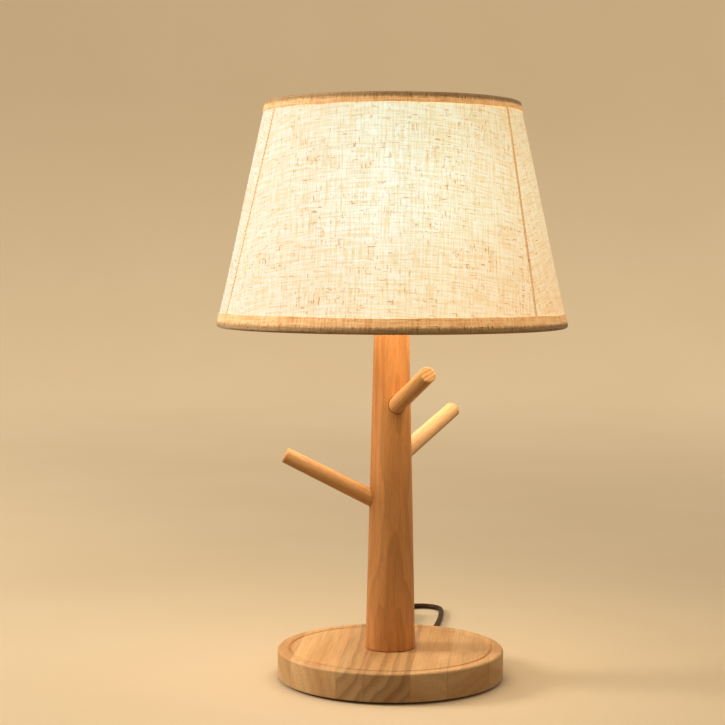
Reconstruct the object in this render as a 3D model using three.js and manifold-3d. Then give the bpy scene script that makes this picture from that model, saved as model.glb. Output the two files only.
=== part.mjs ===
// A bedside lamp. A turned wooden post with three peg branches stands on a round board
// and carries a tapered linen shade on its lamp holder. The lead leaves the back of the board,
// runs through an in-line rocker switch and is wound into a coil with its plug on top.
// Millimetres, +Z up. The origin is on the ground under the middle of the board, -Y is the front.
import * as THREE from 'three';
import { mergeVertices } from 'three/addons/utils/BufferGeometryUtils.js';
import Module from 'manifold-3d';

const wasm = await Module();
wasm.setup();

// Clearances
const gap = 0.3;
const overrun = 4;
const weldTolerance = 0.0005;

// Round counts
const boardSides = 72;
const postSides = 48;
const shadeSides = 64;
const holderSides = 32;
const smallSides = 24;
const reliefSides = 16;
const wireSides = 5;
const roundSteps = 3;

// Board and what is under it
const baseRadius = 97.5;
const feltThickness = 1.5;
const feltInset = 3.5;
const boardThickness = 24;
const boardEdgeRound = 2;
const boardFootChamfer = 1.2;
const grooveRadius = 86.7;
const grooveWidth = 3;
const grooveDepth = 1.4;
const pocketRadius = 24;
const pocketDepth = 16;
const channelWidth = 8;
const channelHeight = 8;

// Post
const postFootRadius = 21.5;
const postTopRadius = 14.8;
const postHeight = 290;
const postFootRound = 0.8;
const postTopRound = 2;

// Peg branches: height where the axis meets the post's axis, and length outside the post
const pegRootRadius = 7.3;
const pegTipRadius = 6.8;
const pegTipRound = 1.2;
const pegSocketDepth = 7;
const leftPegHeight = 147.3;
const leftPegReach = 82;
const frontPegHeight = 231.4;
const frontPegReach = 80;
const backPegHeight = 185.7;
const backPegReach = 80;
const pegBranches = [
  { name: 'peg_left', height: leftPegHeight, reach: leftPegReach, turnDegrees: 186, riseDegrees: 27 },
  { name: 'peg_front', height: frontPegHeight, reach: frontPegReach, turnDegrees: -71, riseDegrees: 22.2 },
  { name: 'peg_back', height: backPegHeight, reach: backPegReach, turnDegrees: 52, riseDegrees: 24.5 },
];

// Threaded pipe that ties board, post and holder together
const pipeRadius = 5;
const pipeBoreRadius = 3.6;
const pipeTailLength = 0.5;
const washerRadius = 14;
const washerThickness = 1.5;
const nutAcrossCorners = 17;
const nutHeight = 5;
const capWasherRadius = 13.6;
const capWasherThickness = 2;

// Lamp holder
const cupFootRadius = 15;
const cupRadius = 20.5;
const cupShoulderHeight = 7;
const cupHeight = 24;
const cupWall = 2;
const flangeRadius = 23;
const flangeHeight = 2.4;
const shellRadius = 19.6;
const shellBoreRadius = 15;
const shellHeight = 34;
const shellThreadPitch = 4;
const shellThreadDepth = 0.7;
const shellThreadTurns = 5;
const insulatorHeight = 7;
const screwShellWall = 0.7;
const screwShellHeight = 22;
const contactRadius = 3.4;
const contactHeight = 1.6;

// Bulb
const bulbCapRadius = 13.4;
const bulbCapHeight = 24;
const bulbThreadDepth = 0.8;
const bulbThreadPitch = 3.2;
const bulbThreadTurns = 5;
const bulbTipRadius = 4.6;
const bulbTipHeight = 2.2;
const bulbTipCone = 4;
const bulbNeckRadius = 12.6;
const bulbRadius = 30;
const bulbCentreHeight = 56;

// Shade: outer size over its trims, and its frame
const shadeBottomHeight = 304;
const shadeHeight = 190.5;
const shadeBottomRadius = 150.4;
const shadeTopRadius = 108.6;
const linenThickness = 1;
const trimThickness = 0.7;
const bottomTrimHeight = 12;
const topTrimHeight = 9;
const trimTurnInHeight = 7;
const hoopWireRadius = 1.7;
const ribWireRadius = 1.25;
const armWireRadius = 1.4;
const armHeight = 17;
const fitterRingRadius = 28;
const fitterRingThickness = 1.6;
const clampRingRadius = 26.5;
const clampRingHeight = 9;
const clampRibDepth = 0.8;
const clampRibs = 20;
const ribTurnsDegrees = [-155, -35, 85];
const ribLeanDegrees = 3.5;

// Lead, its relief at the board and the wire inside
const cordDiameter = 5;
const cordSides = 8;
const exitTurnDegrees = 108;
const exitHeight = 5.8;
const reliefLength = 22;
const reliefStartRadius = 4.3;
const reliefEndRadius = 3.1;
const reliefStemRadius = 3.6;
const reliefStemLength = 5;
const reliefGrooves = 4;
const reliefGrooveDepth = 0.5;
const innerLeadRadius = 2.1;
const innerLeadBend = 7;

// In-line switch: its middle, its lie and its case
const switchX = 0.4;
const switchY = 232;
const switchTurnDegrees = 75;
const switchLength = 56;
const switchWidth = 24;
const switchEndWidth = 11;
const switchTaperLength = 15;
const switchHeight = 16;
const switchSplitHeight = 8;
const switchCrownInset = 1.6;
const rockerLength = 19.2;
const rockerWidth = 10.4;
const rockerPivotHeight = 12.7;
const rockerRise = 4.3;
const rockerDip = 1.5;
const rockerDepth = 2.7;
const rockerTiltDegrees = 8;

// Coil of the spare lead: it starts at its +X side and winds clockwise seen from above
const coilX = 2;
const coilY = 136.4;
const coilInnerRadius = 20;
const coilPitch = 6.3;
const coilLayerRise = 6;
const coilWholeTurns = 5;
const coilExtraDegrees = 20;
const coilStepsPerTurn = 24;
const coilSides = 6;
const coilLift = 3.9;
const tieTurnDegrees = 180;
const tieWidth = 9;
const tieThickness = 0.9;
const tieInset = 3.4;
const tieOutset = 0.6;

// Plug, lying on the coil with its blades towards +Y
const plugX = -8.5;
const plugY = 127.3;
const plugAxisHeight = 20.1;
const plugLength = 41;
const plugWidth = 25;
const plugHeight = 14.8;
const plugNeckRadius = 3.1;
const plugSides = 28;
const bladeLength = 17;
const bladeWidth = 6.3;
const bladeThickness = 1.5;
const bladeSpacing = 12.7;
const bladeHoleRadius = 1.5;
const bladeTipRound = 1.8;

// Route of the lead from the relief to the switch
const cordToSwitchPoints = [
  [-37.15, 114.34, 5.8], [-38.8, 119.3, 5.7], [-42, 128, 3.9], [-47, 137, 2.6], [-50.5, 147, 2.6],
  [-49, 157.5, 2.6], [-42.5, 165.5, 2.6], [-33.5, 171.5, 2.6], [-24.5, 178, 2.8], [-16.4, 186, 4.4],
  [-11, 193.5, 6.3], [-8.27, 199.64, 7], [-6.95, 204.57, 7],
];

// Route of the lead from the switch, out where it shows, and back to the coil
const cordToCoilPoints = [
  [7.75, 259.43, 7], [9.07, 264.36, 7], [10.9, 271.2, 6], [13.0, 277.2, 4.2], [16.2, 283.2, 3],
  [21.6, 288.4, 2.6], [28.0, 290.8, 2.6], [35.0, 290.8, 2.6], [41.4, 288.4, 2.6], [46.9, 283.9, 2.6],
  [50.3, 277.8, 2.6], [51.6, 270, 2.6], [51.6, 260, 2.6], [51.0, 248, 2.6], [49.8, 233, 2.6],
  [48.0, 217, 2.6], [45.8, 200, 2.6], [43.2, 184, 2.6], [40.3, 168, 2.8], [37.6, 155, 3.5],
  [36.6, 147, 3.85], [36.35, 141.75, 3.9],
];

// Route of the last of the lead, over the coil to the plug
const cordToPlugPoints = [
  [32.44, 119.62, 9.9], [30.76, 114.97, 9.9], [26.8, 109.0, 9.9], [21.5, 104.6, 10.2], [15.0, 102.2, 11.2],
  [8.0, 102.2, 12.9], [1.5, 104.6, 15.1], [-3.8, 109.0, 17.1], [-7.3, 115.1, 18.8], [-8.5, 121.9, 20],
  [-8.5, 127.0, 20.1],
];

// Values worked out from the sizes above
const boardBottom = feltThickness + gap;
const boardTop = boardBottom + boardThickness;
const pocketTop = boardBottom + pocketDepth;
const pipeHoleRadius = pipeRadius + gap;
const postBottom = boardTop + gap;
const postTop = postBottom + postHeight;
const capWasherBottom = postTop + gap;
const cupBottom = capWasherBottom + capWasherThickness + gap;
const shellBottom = cupBottom + cupHeight + gap;
const shellTop = shellBottom + shellHeight;
const fitterBottom = shellBottom + flangeHeight + gap;
const clampBottom = fitterBottom + fitterRingThickness + gap;
const insulatorTop = shellBottom + insulatorHeight;
const contactTop = insulatorTop + gap + contactHeight;
const bulbCapBottom = contactTop + gap;
const shadeTop = shadeBottomHeight + shadeHeight;
const shadeSlant = Math.hypot(shadeHeight, shadeBottomRadius - shadeTopRadius);
const cordRadius = cordDiameter / 2;
const washerTop = pocketTop - gap;
const baseNutTop = washerTop - washerThickness - gap;
const exitTurn = THREE.MathUtils.degToRad(exitTurnDegrees);
const switchTurn = THREE.MathUtils.degToRad(switchTurnDegrees);

const lamp = new THREE.Group();

function finish(colour, roughness, metalness) {
  return new THREE.MeshStandardMaterial({ color: colour, roughness, metalness });
}

function addPiece(name, geometry, material, parent = lamp) {
  const piece = new THREE.Mesh(geometry, material);
  piece.name = name;
  parent.add(piece);
  return piece;
}

// A revolve about Z of a closed outline of [radius, height] points
function revolve(outline, sides) {
  const points = outline.map(([radius, height]) => new THREE.Vector2(radius, height));
  return new THREE.LatheGeometry(points, sides).rotateX(Math.PI / 2);
}

function ringOutline(innerRadius, outerRadius, bottom, top) {
  return [
    [innerRadius, bottom], [outerRadius, bottom], [outerRadius, top],
    [innerRadius, top], [innerRadius, bottom],
  ];
}

// Points of a quarter round or any other arc, as [radius, height]
function arcPoints(centreRadius, centreHeight, radius, fromDegrees, toDegrees, steps = roundSteps) {
  return Array.from({ length: steps + 1 }, (_, step) => {
    const angle = THREE.MathUtils.degToRad(fromDegrees + ((toDegrees - fromDegrees) * step) / steps);
    return [centreRadius + radius * Math.cos(angle), centreHeight + radius * Math.sin(angle)];
  });
}

// Rounded ridges of a thread, drawn as [radius, height] points on the way up
function threadPoints(crestRadius, depth, bottom, pitch, turns) {
  const points = [];
  for (let turn = 0; turn < turns; turn += 1) {
    points.push([crestRadius - depth, bottom + turn * pitch]);
    points.push([crestRadius, bottom + (turn + 1 / 2) * pitch]);
  }
  points.push([crestRadius - depth, bottom + turns * pitch]);
  return points;
}

// A three.js geometry as a solid that can be cut, and back again
function toSolid(geometry) {
  const bare = geometry.clone();
  bare.deleteAttribute('normal');
  bare.deleteAttribute('uv');
  const merged = mergeVertices(bare, weldTolerance);
  const triangles = [];
  for (let corner = 0; corner < merged.index.count; corner += 3) {
    const [a, b, c] = [0, 1, 2].map((step) => merged.index.getX(corner + step));
    if (a !== b && b !== c && c !== a) triangles.push(a, b, c);
  }
  return new wasm.Manifold(new wasm.Mesh({
    numProp: 3,
    vertProperties: merged.attributes.position.array,
    triVerts: Uint32Array.from(triangles),
  }));
}

function toGeometry(solid) {
  const mesh = solid.getMesh();
  const geometry = new THREE.BufferGeometry();
  geometry.setAttribute('position', new THREE.BufferAttribute(mesh.vertProperties, 3));
  geometry.setIndex(new THREE.BufferAttribute(mesh.triVerts, 1));
  geometry.computeVertexNormals();
  return geometry;
}

function cutAway(geometry, cutters) {
  return toGeometry(cutters.reduce((solid, cutter) => solid.subtract(toSolid(cutter)), toSolid(geometry)));
}

// A straight round bar between two points
function rod(from, to, radius, sides) {
  const along = new THREE.Vector3().subVectors(to, from);
  const bar = new THREE.CylinderGeometry(radius, radius, along.length(), sides);
  const turn = new THREE.Quaternion();
  turn.setFromUnitVectors(THREE.Object3D.DEFAULT_UP, along.clone().normalize());
  const middle = new THREE.Vector3().addVectors(from, to).divideScalar(2);
  return bar.applyQuaternion(turn).translate(middle.x, middle.y, middle.z);
}

// A closed skin over rings of points that all have the same count
function skin(rings) {
  const count = rings[0].length;
  const positions = rings.flat().flatMap((point) => [point.x, point.y, point.z]);
  const index = [];
  for (let ring = 0; ring + 1 < rings.length; ring += 1) {
    for (let side = 0; side < count; side += 1) {
      const a = ring * count + side;
      const b = ring * count + ((side + 1) % count);
      index.push(a, b, b + count, a, b + count, a + count);
    }
  }
  const last = (rings.length - 1) * count;
  for (let side = 1; side + 1 < count; side += 1) {
    index.push(0, side + 1, side);
    index.push(last, last + side, last + side + 1);
  }
  const geometry = new THREE.BufferGeometry();
  geometry.setAttribute('position', new THREE.Float32BufferAttribute(positions, 3));
  geometry.setIndex(index);
  geometry.computeVertexNormals();
  return geometry;
}

// A round cord along a smooth curve, one step for every two and a half diameters
function cordTube(curve, radius, sides) {
  const section = new THREE.Shape(
    Array.from({ length: sides }, (_, side) => {
      const angle = (2 * Math.PI * side) / sides;
      return new THREE.Vector2(radius * Math.cos(angle), radius * Math.sin(angle));
    }),
  );
  const steps = Math.round(curve.getLength() / (5 * radius));
  return new THREE.ExtrudeGeometry(section, { steps, extrudePath: curve });
}

function cordThrough(points) {
  const route = points.map(([x, y, z]) => new THREE.Vector3(x, y, z));
  return new THREE.CatmullRomCurve3(route, false, 'centripetal');
}

// Board and felt
function boardGeometry() {
  const outline = [
    [pocketRadius, boardBottom],
    [baseRadius - boardFootChamfer, boardBottom],
    [baseRadius, boardBottom + boardFootChamfer],
    ...arcPoints(baseRadius - boardEdgeRound, boardTop - boardEdgeRound, boardEdgeRound, 0, 90),
    [grooveRadius + grooveWidth / 2, boardTop],
    [grooveRadius + grooveWidth / 4, boardTop - grooveDepth],
    [grooveRadius - grooveWidth / 4, boardTop - grooveDepth],
    [grooveRadius - grooveWidth / 2, boardTop],
    [pipeHoleRadius, boardTop],
    [pipeHoleRadius, pocketTop],
    [pocketRadius, pocketTop],
    [pocketRadius, boardBottom],
  ];
  const channelStart = pocketRadius / 2;
  const channelEnd = baseRadius + overrun;
  const channel = new THREE.BoxGeometry(channelEnd - channelStart, channelWidth, channelHeight + overrun);
  channel.translate(
    (channelStart + channelEnd) / 2,
    0,
    boardBottom + channelHeight - (channelHeight + overrun) / 2,
  );
  return cutAway(revolve(outline, boardSides), [channel.rotateZ(exitTurn)]);
}

const wood = () => finish(0xd9a066, 0.55, 0);
addPiece('base_board', boardGeometry(), wood());
addPiece(
  'base_felt',
  revolve([
    [0, 0], [baseRadius - feltInset, 0], [baseRadius - feltInset, feltThickness], [0, feltThickness],
  ], boardSides),
  finish(0x4a3a2c, 0.95, 0),
);

// Post with a socket for each branch, and the branches in them
const postSlope = (postFootRadius - postTopRadius) / postHeight;
const postRadiusAt = (height) => postFootRadius - postSlope * (height - postBottom);

function pegDirection({ turnDegrees, riseDegrees }) {
  const turn = THREE.MathUtils.degToRad(turnDegrees);
  const rise = THREE.MathUtils.degToRad(riseDegrees);
  return new THREE.Vector3(Math.cos(turn) * Math.cos(rise), Math.sin(turn) * Math.cos(rise), Math.sin(rise));
}

// Distance along a branch's axis from the post's axis to the post's surface
function pegSurface({ height, riseDegrees }) {
  const rise = THREE.MathUtils.degToRad(riseDegrees);
  return postRadiusAt(height) / (Math.cos(rise) + postSlope * Math.sin(rise));
}

function pegPoint(peg, distance) {
  return pegDirection(peg).multiplyScalar(distance).add(new THREE.Vector3(0, 0, peg.height));
}

function postGeometry() {
  const outline = [
    [pipeHoleRadius, postBottom],
    [postFootRadius - postFootRound, postBottom],
    [postFootRadius, postBottom + postFootRound],
    ...arcPoints(postTopRadius - postTopRound, postTop - postTopRound, postTopRound, 0, 90),
    [pipeHoleRadius, postTop],
    [pipeHoleRadius, postBottom],
  ];
  const sockets = pegBranches.map((peg) => {
    const surface = pegSurface(peg);
    const mouth = surface + 2 * pegRootRadius;
    const [foot, end] = [pegPoint(peg, surface - pegSocketDepth), pegPoint(peg, mouth)];
    return rod(foot, end, pegRootRadius + gap, smallSides);
  });
  return cutAway(revolve(outline, postSides), sockets);
}

addPiece('post', postGeometry(), wood());

for (const peg of pegBranches) {
  const length = pegSocketDepth - gap + peg.reach;
  const outline = [
    [0, 0],
    [pegRootRadius, 0],
    [pegRootRadius, pegSocketDepth],
    ...arcPoints(pegTipRadius - pegTipRound, length - pegTipRound, pegTipRound, 0, 90),
    [0, length],
  ];
  const branch = addPiece(peg.name, revolve(outline, smallSides), wood());
  branch.position.copy(pegPoint(peg, pegSurface(peg) - pegSocketDepth + gap));
  branch.quaternion.setFromUnitVectors(new THREE.Vector3(0, 0, 1), pegDirection(peg));
}

// Threaded pipe with its nuts and washers
const brass = () => finish(0xc9a557, 0.35, 1);
const steel = () => finish(0xb8bcc0, 0.4, 1);

function nutGeometry(bottom) {
  const outline = new THREE.Shape(
    Array.from({ length: 6 }, (_, corner) => {
      const angle = (Math.PI * corner) / 3;
      return new THREE.Vector2(Math.cos(angle), Math.sin(angle)).multiplyScalar(nutAcrossCorners / 2);
    }),
  );
  outline.holes.push(new THREE.Path().absarc(0, 0, pipeHoleRadius, 0, 2 * Math.PI, true));
  const settings = { depth: nutHeight, bevelEnabled: false, curveSegments: smallSides };
  return new THREE.ExtrudeGeometry(outline, settings).translate(0, 0, bottom);
}

const baseNutBottom = baseNutTop - nutHeight;
const pipeBottom = baseNutBottom - pipeTailLength;
const holderNutBottom = cupBottom + cupWall + gap;
const pipeTop = holderNutBottom + nutHeight + pipeTailLength;
addPiece(
  'base_washer',
  revolve(ringOutline(pipeHoleRadius, washerRadius, washerTop - washerThickness, washerTop), smallSides),
  steel(),
);
addPiece('base_nut', nutGeometry(baseNutBottom), steel());
const pipeOutline = ringOutline(pipeBoreRadius, pipeRadius, pipeBottom, pipeTop);
addPiece('threaded_pipe', revolve(pipeOutline, smallSides), steel());
addPiece(
  'cap_washer',
  revolve(
    ringOutline(pipeHoleRadius, capWasherRadius, capWasherBottom, capWasherBottom + capWasherThickness),
    holderSides,
  ),
  brass(),
);
addPiece('holder_nut', nutGeometry(holderNutBottom), steel());

// Lamp holder
const porcelain = () => finish(0xece7dc, 0.35, 0);
const cupTop = cupBottom + cupHeight;
addPiece(
  'holder_cup',
  revolve(
    [
      [pipeHoleRadius, cupBottom],
      [cupFootRadius, cupBottom],
      [cupRadius, cupBottom + cupShoulderHeight],
      [cupRadius, cupTop],
      [cupRadius - cupWall, cupTop],
      [cupRadius - cupWall, cupBottom + cupShoulderHeight + cupWall / 2],
      [cupFootRadius - cupWall / 2, cupBottom + cupWall],
      [pipeHoleRadius, cupBottom + cupWall],
      [pipeHoleRadius, cupBottom],
    ],
    holderSides,
  ),
  porcelain(),
);
addPiece(
  'holder_shell',
  revolve(
    [
      [shellBoreRadius, shellBottom],
      [flangeRadius, shellBottom],
      [flangeRadius, shellBottom + flangeHeight],
      [shellRadius, shellBottom + flangeHeight],
      ...threadPoints(
        shellRadius,
        shellThreadDepth,
        shellBottom + flangeHeight + shellThreadPitch,
        shellThreadPitch,
        shellThreadTurns,
      ),
      [shellRadius - shellThreadDepth, shellTop],
      [shellBoreRadius, shellTop],
      [shellBoreRadius, shellBottom],
    ],
    holderSides,
  ),
  porcelain(),
);
addPiece(
  'holder_insulator',
  revolve(
    [
      [0, shellBottom],
      [shellBoreRadius - gap, shellBottom],
      [shellBoreRadius - gap, insulatorTop],
      [0, insulatorTop],
    ],
    smallSides,
  ),
  finish(0xf3f1ea, 0.5, 0),
);
const screwShellRadius = shellBoreRadius - gap;
addPiece(
  'screw_shell',
  revolve(
    ringOutline(
      screwShellRadius - screwShellWall,
      screwShellRadius,
      insulatorTop + gap,
      insulatorTop + gap + screwShellHeight,
    ),
    holderSides,
  ),
  brass(),
);
addPiece(
  'centre_contact',
  revolve(
    [
      [0, insulatorTop + gap], [contactRadius, insulatorTop + gap],
      [contactRadius, contactTop], [0, contactTop],
    ],
    smallSides,
  ),
  brass(),
);

// Bulb
const bulbThreadBottom = bulbCapBottom + bulbTipHeight + bulbTipCone;
const bulbCapTop = bulbCapBottom + bulbCapHeight;
addPiece(
  'bulb_cap',
  revolve(
    [
      [0, bulbCapBottom],
      [bulbTipRadius, bulbCapBottom],
      [bulbTipRadius, bulbCapBottom + bulbTipHeight],
      ...threadPoints(bulbCapRadius, bulbThreadDepth, bulbThreadBottom, bulbThreadPitch, bulbThreadTurns),
      [bulbCapRadius - bulbThreadDepth, bulbCapTop],
      [0, bulbCapTop],
    ],
    smallSides,
  ),
  finish(0xc4c6c8, 0.35, 1),
);
const globeBottom = bulbCapTop + gap;
addPiece(
  'bulb_globe',
  revolve(
    [
      [0, globeBottom],
      [bulbNeckRadius, globeBottom],
      ...arcPoints(0, globeBottom + bulbCentreHeight, bulbRadius, -48, 90, 4 * roundSteps),
    ],
    holderSides,
  ),
  finish(0xfff6df, 0.4, 0),
);

// Shade. A point of its wall is given by its way up the slope and how far it stands out of the outer face
const slopeUp = new THREE.Vector2(shadeTopRadius - shadeBottomRadius, shadeHeight).divideScalar(shadeSlant);

function wallPoint(up, out) {
  return [
    shadeBottomRadius + slopeUp.x * up + slopeUp.y * out,
    shadeBottomHeight + slopeUp.y * up - slopeUp.x * out,
  ];
}

const linenFace = -(trimThickness + gap);
const linenBack = linenFace - linenThickness;
const hoopOut = linenBack - gap - hoopWireRadius;
const hoopUp = trimThickness + gap + hoopWireRadius;
const turnInFace = hoopOut - hoopWireRadius - gap;
const turnInBack = turnInFace - trimThickness;
const linenEdge = trimThickness + gap;

addPiece(
  'shade_linen',
  revolve(
    [
      wallPoint(linenEdge, linenBack),
      wallPoint(linenEdge, linenFace),
      wallPoint(shadeSlant - linenEdge, linenFace),
      wallPoint(shadeSlant - linenEdge, linenBack),
      wallPoint(linenEdge, linenBack),
    ],
    shadeSides,
  ),
  finish(0xf2dfb8, 0.9, 0),
);

// A tape folded round a hoop: its outer leg, the fold and the turn-in behind
function trimOutline(place, outerHeight) {
  return [
    place(0, turnInBack),
    place(0, 0),
    place(outerHeight, 0),
    place(outerHeight, -trimThickness),
    place(trimThickness, -trimThickness),
    place(trimThickness, turnInFace),
    place(trimTurnInHeight, turnInFace),
    place(trimTurnInHeight, turnInBack),
    place(0, turnInBack),
  ];
}

const fromTop = (up, out) => wallPoint(shadeSlant - up, out);
const tape = () => finish(0xcf9c66, 0.9, 0);
addPiece('shade_bottom_trim', revolve(trimOutline(wallPoint, bottomTrimHeight), shadeSides), tape());
addPiece('shade_top_trim', revolve(trimOutline(fromTop, topTrimHeight).reverse(), shadeSides), tape());

function hoopGeometry(place) {
  const [radius, height] = place(hoopUp, hoopOut);
  return new THREE.TorusGeometry(radius, hoopWireRadius, wireSides, shadeSides).translate(0, 0, height);
}

const wire = () => finish(0xd9d9d6, 0.4, 1);
addPiece('shade_bottom_hoop', hoopGeometry(wallPoint), wire());
addPiece('shade_top_hoop', hoopGeometry(fromTop), wire());

// Ribs join the hoops behind the seams, and an arm runs from each rib to the fitter ring
const ribEndUp = hoopUp + hoopWireRadius + gap;
const ribOut = linenBack - gap - ribWireRadius;

function turned([radius, height], degrees) {
  const turn = THREE.MathUtils.degToRad(degrees);
  return new THREE.Vector3(radius * Math.cos(turn), radius * Math.sin(turn), height);
}

const fitterMiddle = fitterBottom + fitterRingThickness / 2;
ribTurnsDegrees.forEach((turnDegrees, which) => {
  const low = turned(wallPoint(ribEndUp, ribOut), turnDegrees - ribLeanDegrees);
  const high = turned(fromTop(ribEndUp, ribOut), turnDegrees + ribLeanDegrees);
  addPiece(`shade_rib_${which + 1}`, rod(low, high, ribWireRadius, cordSides), wire());
  const joint = low.clone().lerp(high, armHeight / shadeSlant);
  const armRise = (fitterMiddle - joint.z) / (Math.hypot(joint.x, joint.y) - fitterRingRadius);
  const innerRadius = fitterRingRadius + gap + (fitterRingThickness / 2) * armRise;
  const inner = new THREE.Vector3(joint.x, joint.y, 0).setLength(innerRadius).setZ(fitterMiddle);
  const inwards = new THREE.Vector3().subVectors(inner, joint).normalize();
  const meeting = inwards.angleTo(new THREE.Vector3().subVectors(high, low));
  const setOff = (ribWireRadius + gap + armWireRadius * Math.cos(meeting)) / Math.sin(meeting);
  const outer = joint.clone().addScaledVector(inwards, setOff);
  addPiece(`shade_arm_${which + 1}`, rod(outer, inner, armWireRadius, cordSides), wire());
});
addPiece(
  'fitter_ring',
  revolve(
    ringOutline(shellRadius + gap, fitterRingRadius, fitterBottom, fitterBottom + fitterRingThickness),
    holderSides,
  ),
  wire(),
);

// Clamp ring: a short threaded collar with grip ribs, screwed down on the fitter ring
function clampRingGeometry() {
  const points = Array.from({ length: 4 * clampRibs }, (_, step) => {
    const radius = clampRingRadius - (step % 4 < 2 ? 0 : clampRibDepth);
    const angle = (2 * Math.PI * step) / (4 * clampRibs);
    return new THREE.Vector2(radius * Math.cos(angle), radius * Math.sin(angle));
  });
  const outline = new THREE.Shape(points);
  outline.holes.push(new THREE.Path().absarc(0, 0, shellRadius + gap, 0, 2 * Math.PI, true));
  const settings = { depth: clampRingHeight, bevelEnabled: false, curveSegments: holderSides };
  return new THREE.ExtrudeGeometry(outline, settings).translate(0, 0, clampBottom);
}

addPiece('clamp_ring', clampRingGeometry(), porcelain());

// Relief of the lead at the back of the board, and the wire from there up the pipe
const lead = () => finish(0x3a2412, 0.5, 0);
const exitWay = new THREE.Vector3(Math.cos(exitTurn), Math.sin(exitTurn), 0);
const exitPoint = (distance) => exitWay.clone().multiplyScalar(distance).setZ(exitHeight);

function reliefGeometry() {
  const stemEnd = baseRadius + gap;
  const outline = [
    [0, -reliefStemLength],
    [reliefStemRadius, -reliefStemLength],
    [reliefStemRadius, 0],
  ];
  const step = reliefLength / (2 * reliefGrooves + 1);
  for (let band = 0; band <= 2 * reliefGrooves; band += 1) {
    const radius = THREE.MathUtils.lerp(reliefStartRadius, reliefEndRadius, band / (2 * reliefGrooves));
    const sunk = band % 2 === 0 ? 0 : reliefGrooveDepth;
    outline.push([radius - sunk, band * step], [radius - sunk, (band + 1) * step]);
  }
  outline.push([0, reliefLength]);
  const relief = revolve(outline, reliefSides).rotateY(Math.PI / 2).rotateZ(exitTurn);
  const foot = exitPoint(stemEnd);
  return relief.translate(foot.x, foot.y, foot.z);
}

addPiece('cord_relief', reliefGeometry(), lead());

const innerLead = new THREE.CurvePath();
const bendStart = exitPoint(innerLeadBend);
const bendEnd = new THREE.Vector3(0, 0, exitHeight + innerLeadBend);
innerLead.add(new THREE.LineCurve3(exitPoint(baseRadius - reliefStemLength), bendStart));
innerLead.add(new THREE.QuadraticBezierCurve3(bendStart, exitPoint(0), bendEnd));
innerLead.add(new THREE.LineCurve3(bendEnd, new THREE.Vector3(0, 0, shellBottom - gap)));
addPiece('inner_lead', cordTube(innerLead, innerLeadRadius, coilSides), lead());

// In-line switch. Its own frame has X along the lead and the ground at zero
const switchFrame = new THREE.Group();
switchFrame.position.set(switchX, switchY, 0);
switchFrame.rotation.z = switchTurn;
lamp.add(switchFrame);

function switchOutline() {
  const endX = switchLength / 2;
  const flankX = endX - switchTaperLength;
  const outline = new THREE.Shape();
  outline.moveTo(-endX, -switchEndWidth / 2);
  outline.quadraticCurveTo(-(endX + flankX) / 2, -switchWidth / 2, -flankX, -switchWidth / 2);
  outline.lineTo(flankX, -switchWidth / 2);
  outline.quadraticCurveTo((endX + flankX) / 2, -switchWidth / 2, endX, -switchEndWidth / 2);
  outline.lineTo(endX, switchEndWidth / 2);
  outline.quadraticCurveTo((endX + flankX) / 2, switchWidth / 2, flankX, switchWidth / 2);
  outline.lineTo(-flankX, switchWidth / 2);
  outline.quadraticCurveTo(-(endX + flankX) / 2, switchWidth / 2, -endX, switchEndWidth / 2);
  return outline.getPoints(roundSteps + 1);
}

// Rings of the case outline, each drawn in by an inset at its height
function caseRings(levels) {
  const outline = switchOutline();
  return levels.map(([height, inset]) => {
    const shareX = (switchLength / 2 - inset) / (switchLength / 2);
    const shareY = (switchWidth / 2 - inset) / (switchWidth / 2);
    return outline.map((point) => new THREE.Vector3(point.x * shareX, point.y * shareY, height));
  });
}

const caseSplit = switchSplitHeight;
const lowerCase = skin(caseRings([
  [0, switchCrownInset],
  [switchCrownInset, 0],
  [caseSplit - gap / 2, 0],
]));
const rockerWindow = new THREE.BoxGeometry(
  rockerLength + 2 * gap,
  rockerWidth + 2 * gap,
  switchHeight + overrun,
);
rockerWindow.translate(0, 0, caseSplit + switchHeight / 2);
const upperCase = skin(caseRings([
  [caseSplit + gap / 2, 0],
  [switchHeight - 2 * switchCrownInset, 0],
  [switchHeight - switchCrownInset / 2, switchCrownInset / 2],
  [switchHeight, switchCrownInset],
]));
const switchPlastic = () => finish(0x2a1c12, 0.45, 0);
addPiece('switch_base', lowerCase, switchPlastic(), switchFrame);
addPiece('switch_cover', cutAway(upperCase, [rockerWindow]), switchPlastic(), switchFrame);

// Rocker: its ends are arcs about the pivot, so its gap to the window stays the same as it tips
function rockerGeometry() {
  const reach = rockerLength / 2;
  const topAngle = Math.asin(rockerRise / reach);
  const footAngle = -Math.asin(rockerDepth / reach);
  const ends = Array.from({ length: roundSteps + 1 }, (_, step) => {
    const angle = THREE.MathUtils.lerp(footAngle, topAngle, step / roundSteps);
    return new THREE.Vector2(reach * Math.cos(angle), reach * Math.sin(angle));
  });
  const mirrored = ends.map((point) => new THREE.Vector2(-point.x, point.y)).reverse();
  const outline = new THREE.Shape([...ends, new THREE.Vector2(0, rockerRise - rockerDip), ...mirrored]);
  const settings = { depth: rockerWidth, bevelEnabled: false };
  return new THREE.ExtrudeGeometry(outline, settings).translate(0, 0, -rockerWidth / 2).rotateX(Math.PI / 2);
}

const rocker = addPiece('switch_rocker', rockerGeometry(), finish(0x1c120a, 0.35, 0), switchFrame);
rocker.position.z = rockerPivotHeight;
rocker.rotation.y = THREE.MathUtils.degToRad(rockerTiltDegrees);

// Free stretches of the lead
addPiece('cord_to_switch', cordTube(cordThrough(cordToSwitchPoints), cordRadius, cordSides), lead());
addPiece('cord_to_coil', cordTube(cordThrough(cordToCoilPoints), cordRadius, cordSides), lead());
addPiece('cord_to_plug', cordTube(cordThrough(cordToPlugPoints), cordRadius, cordSides), lead());

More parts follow.
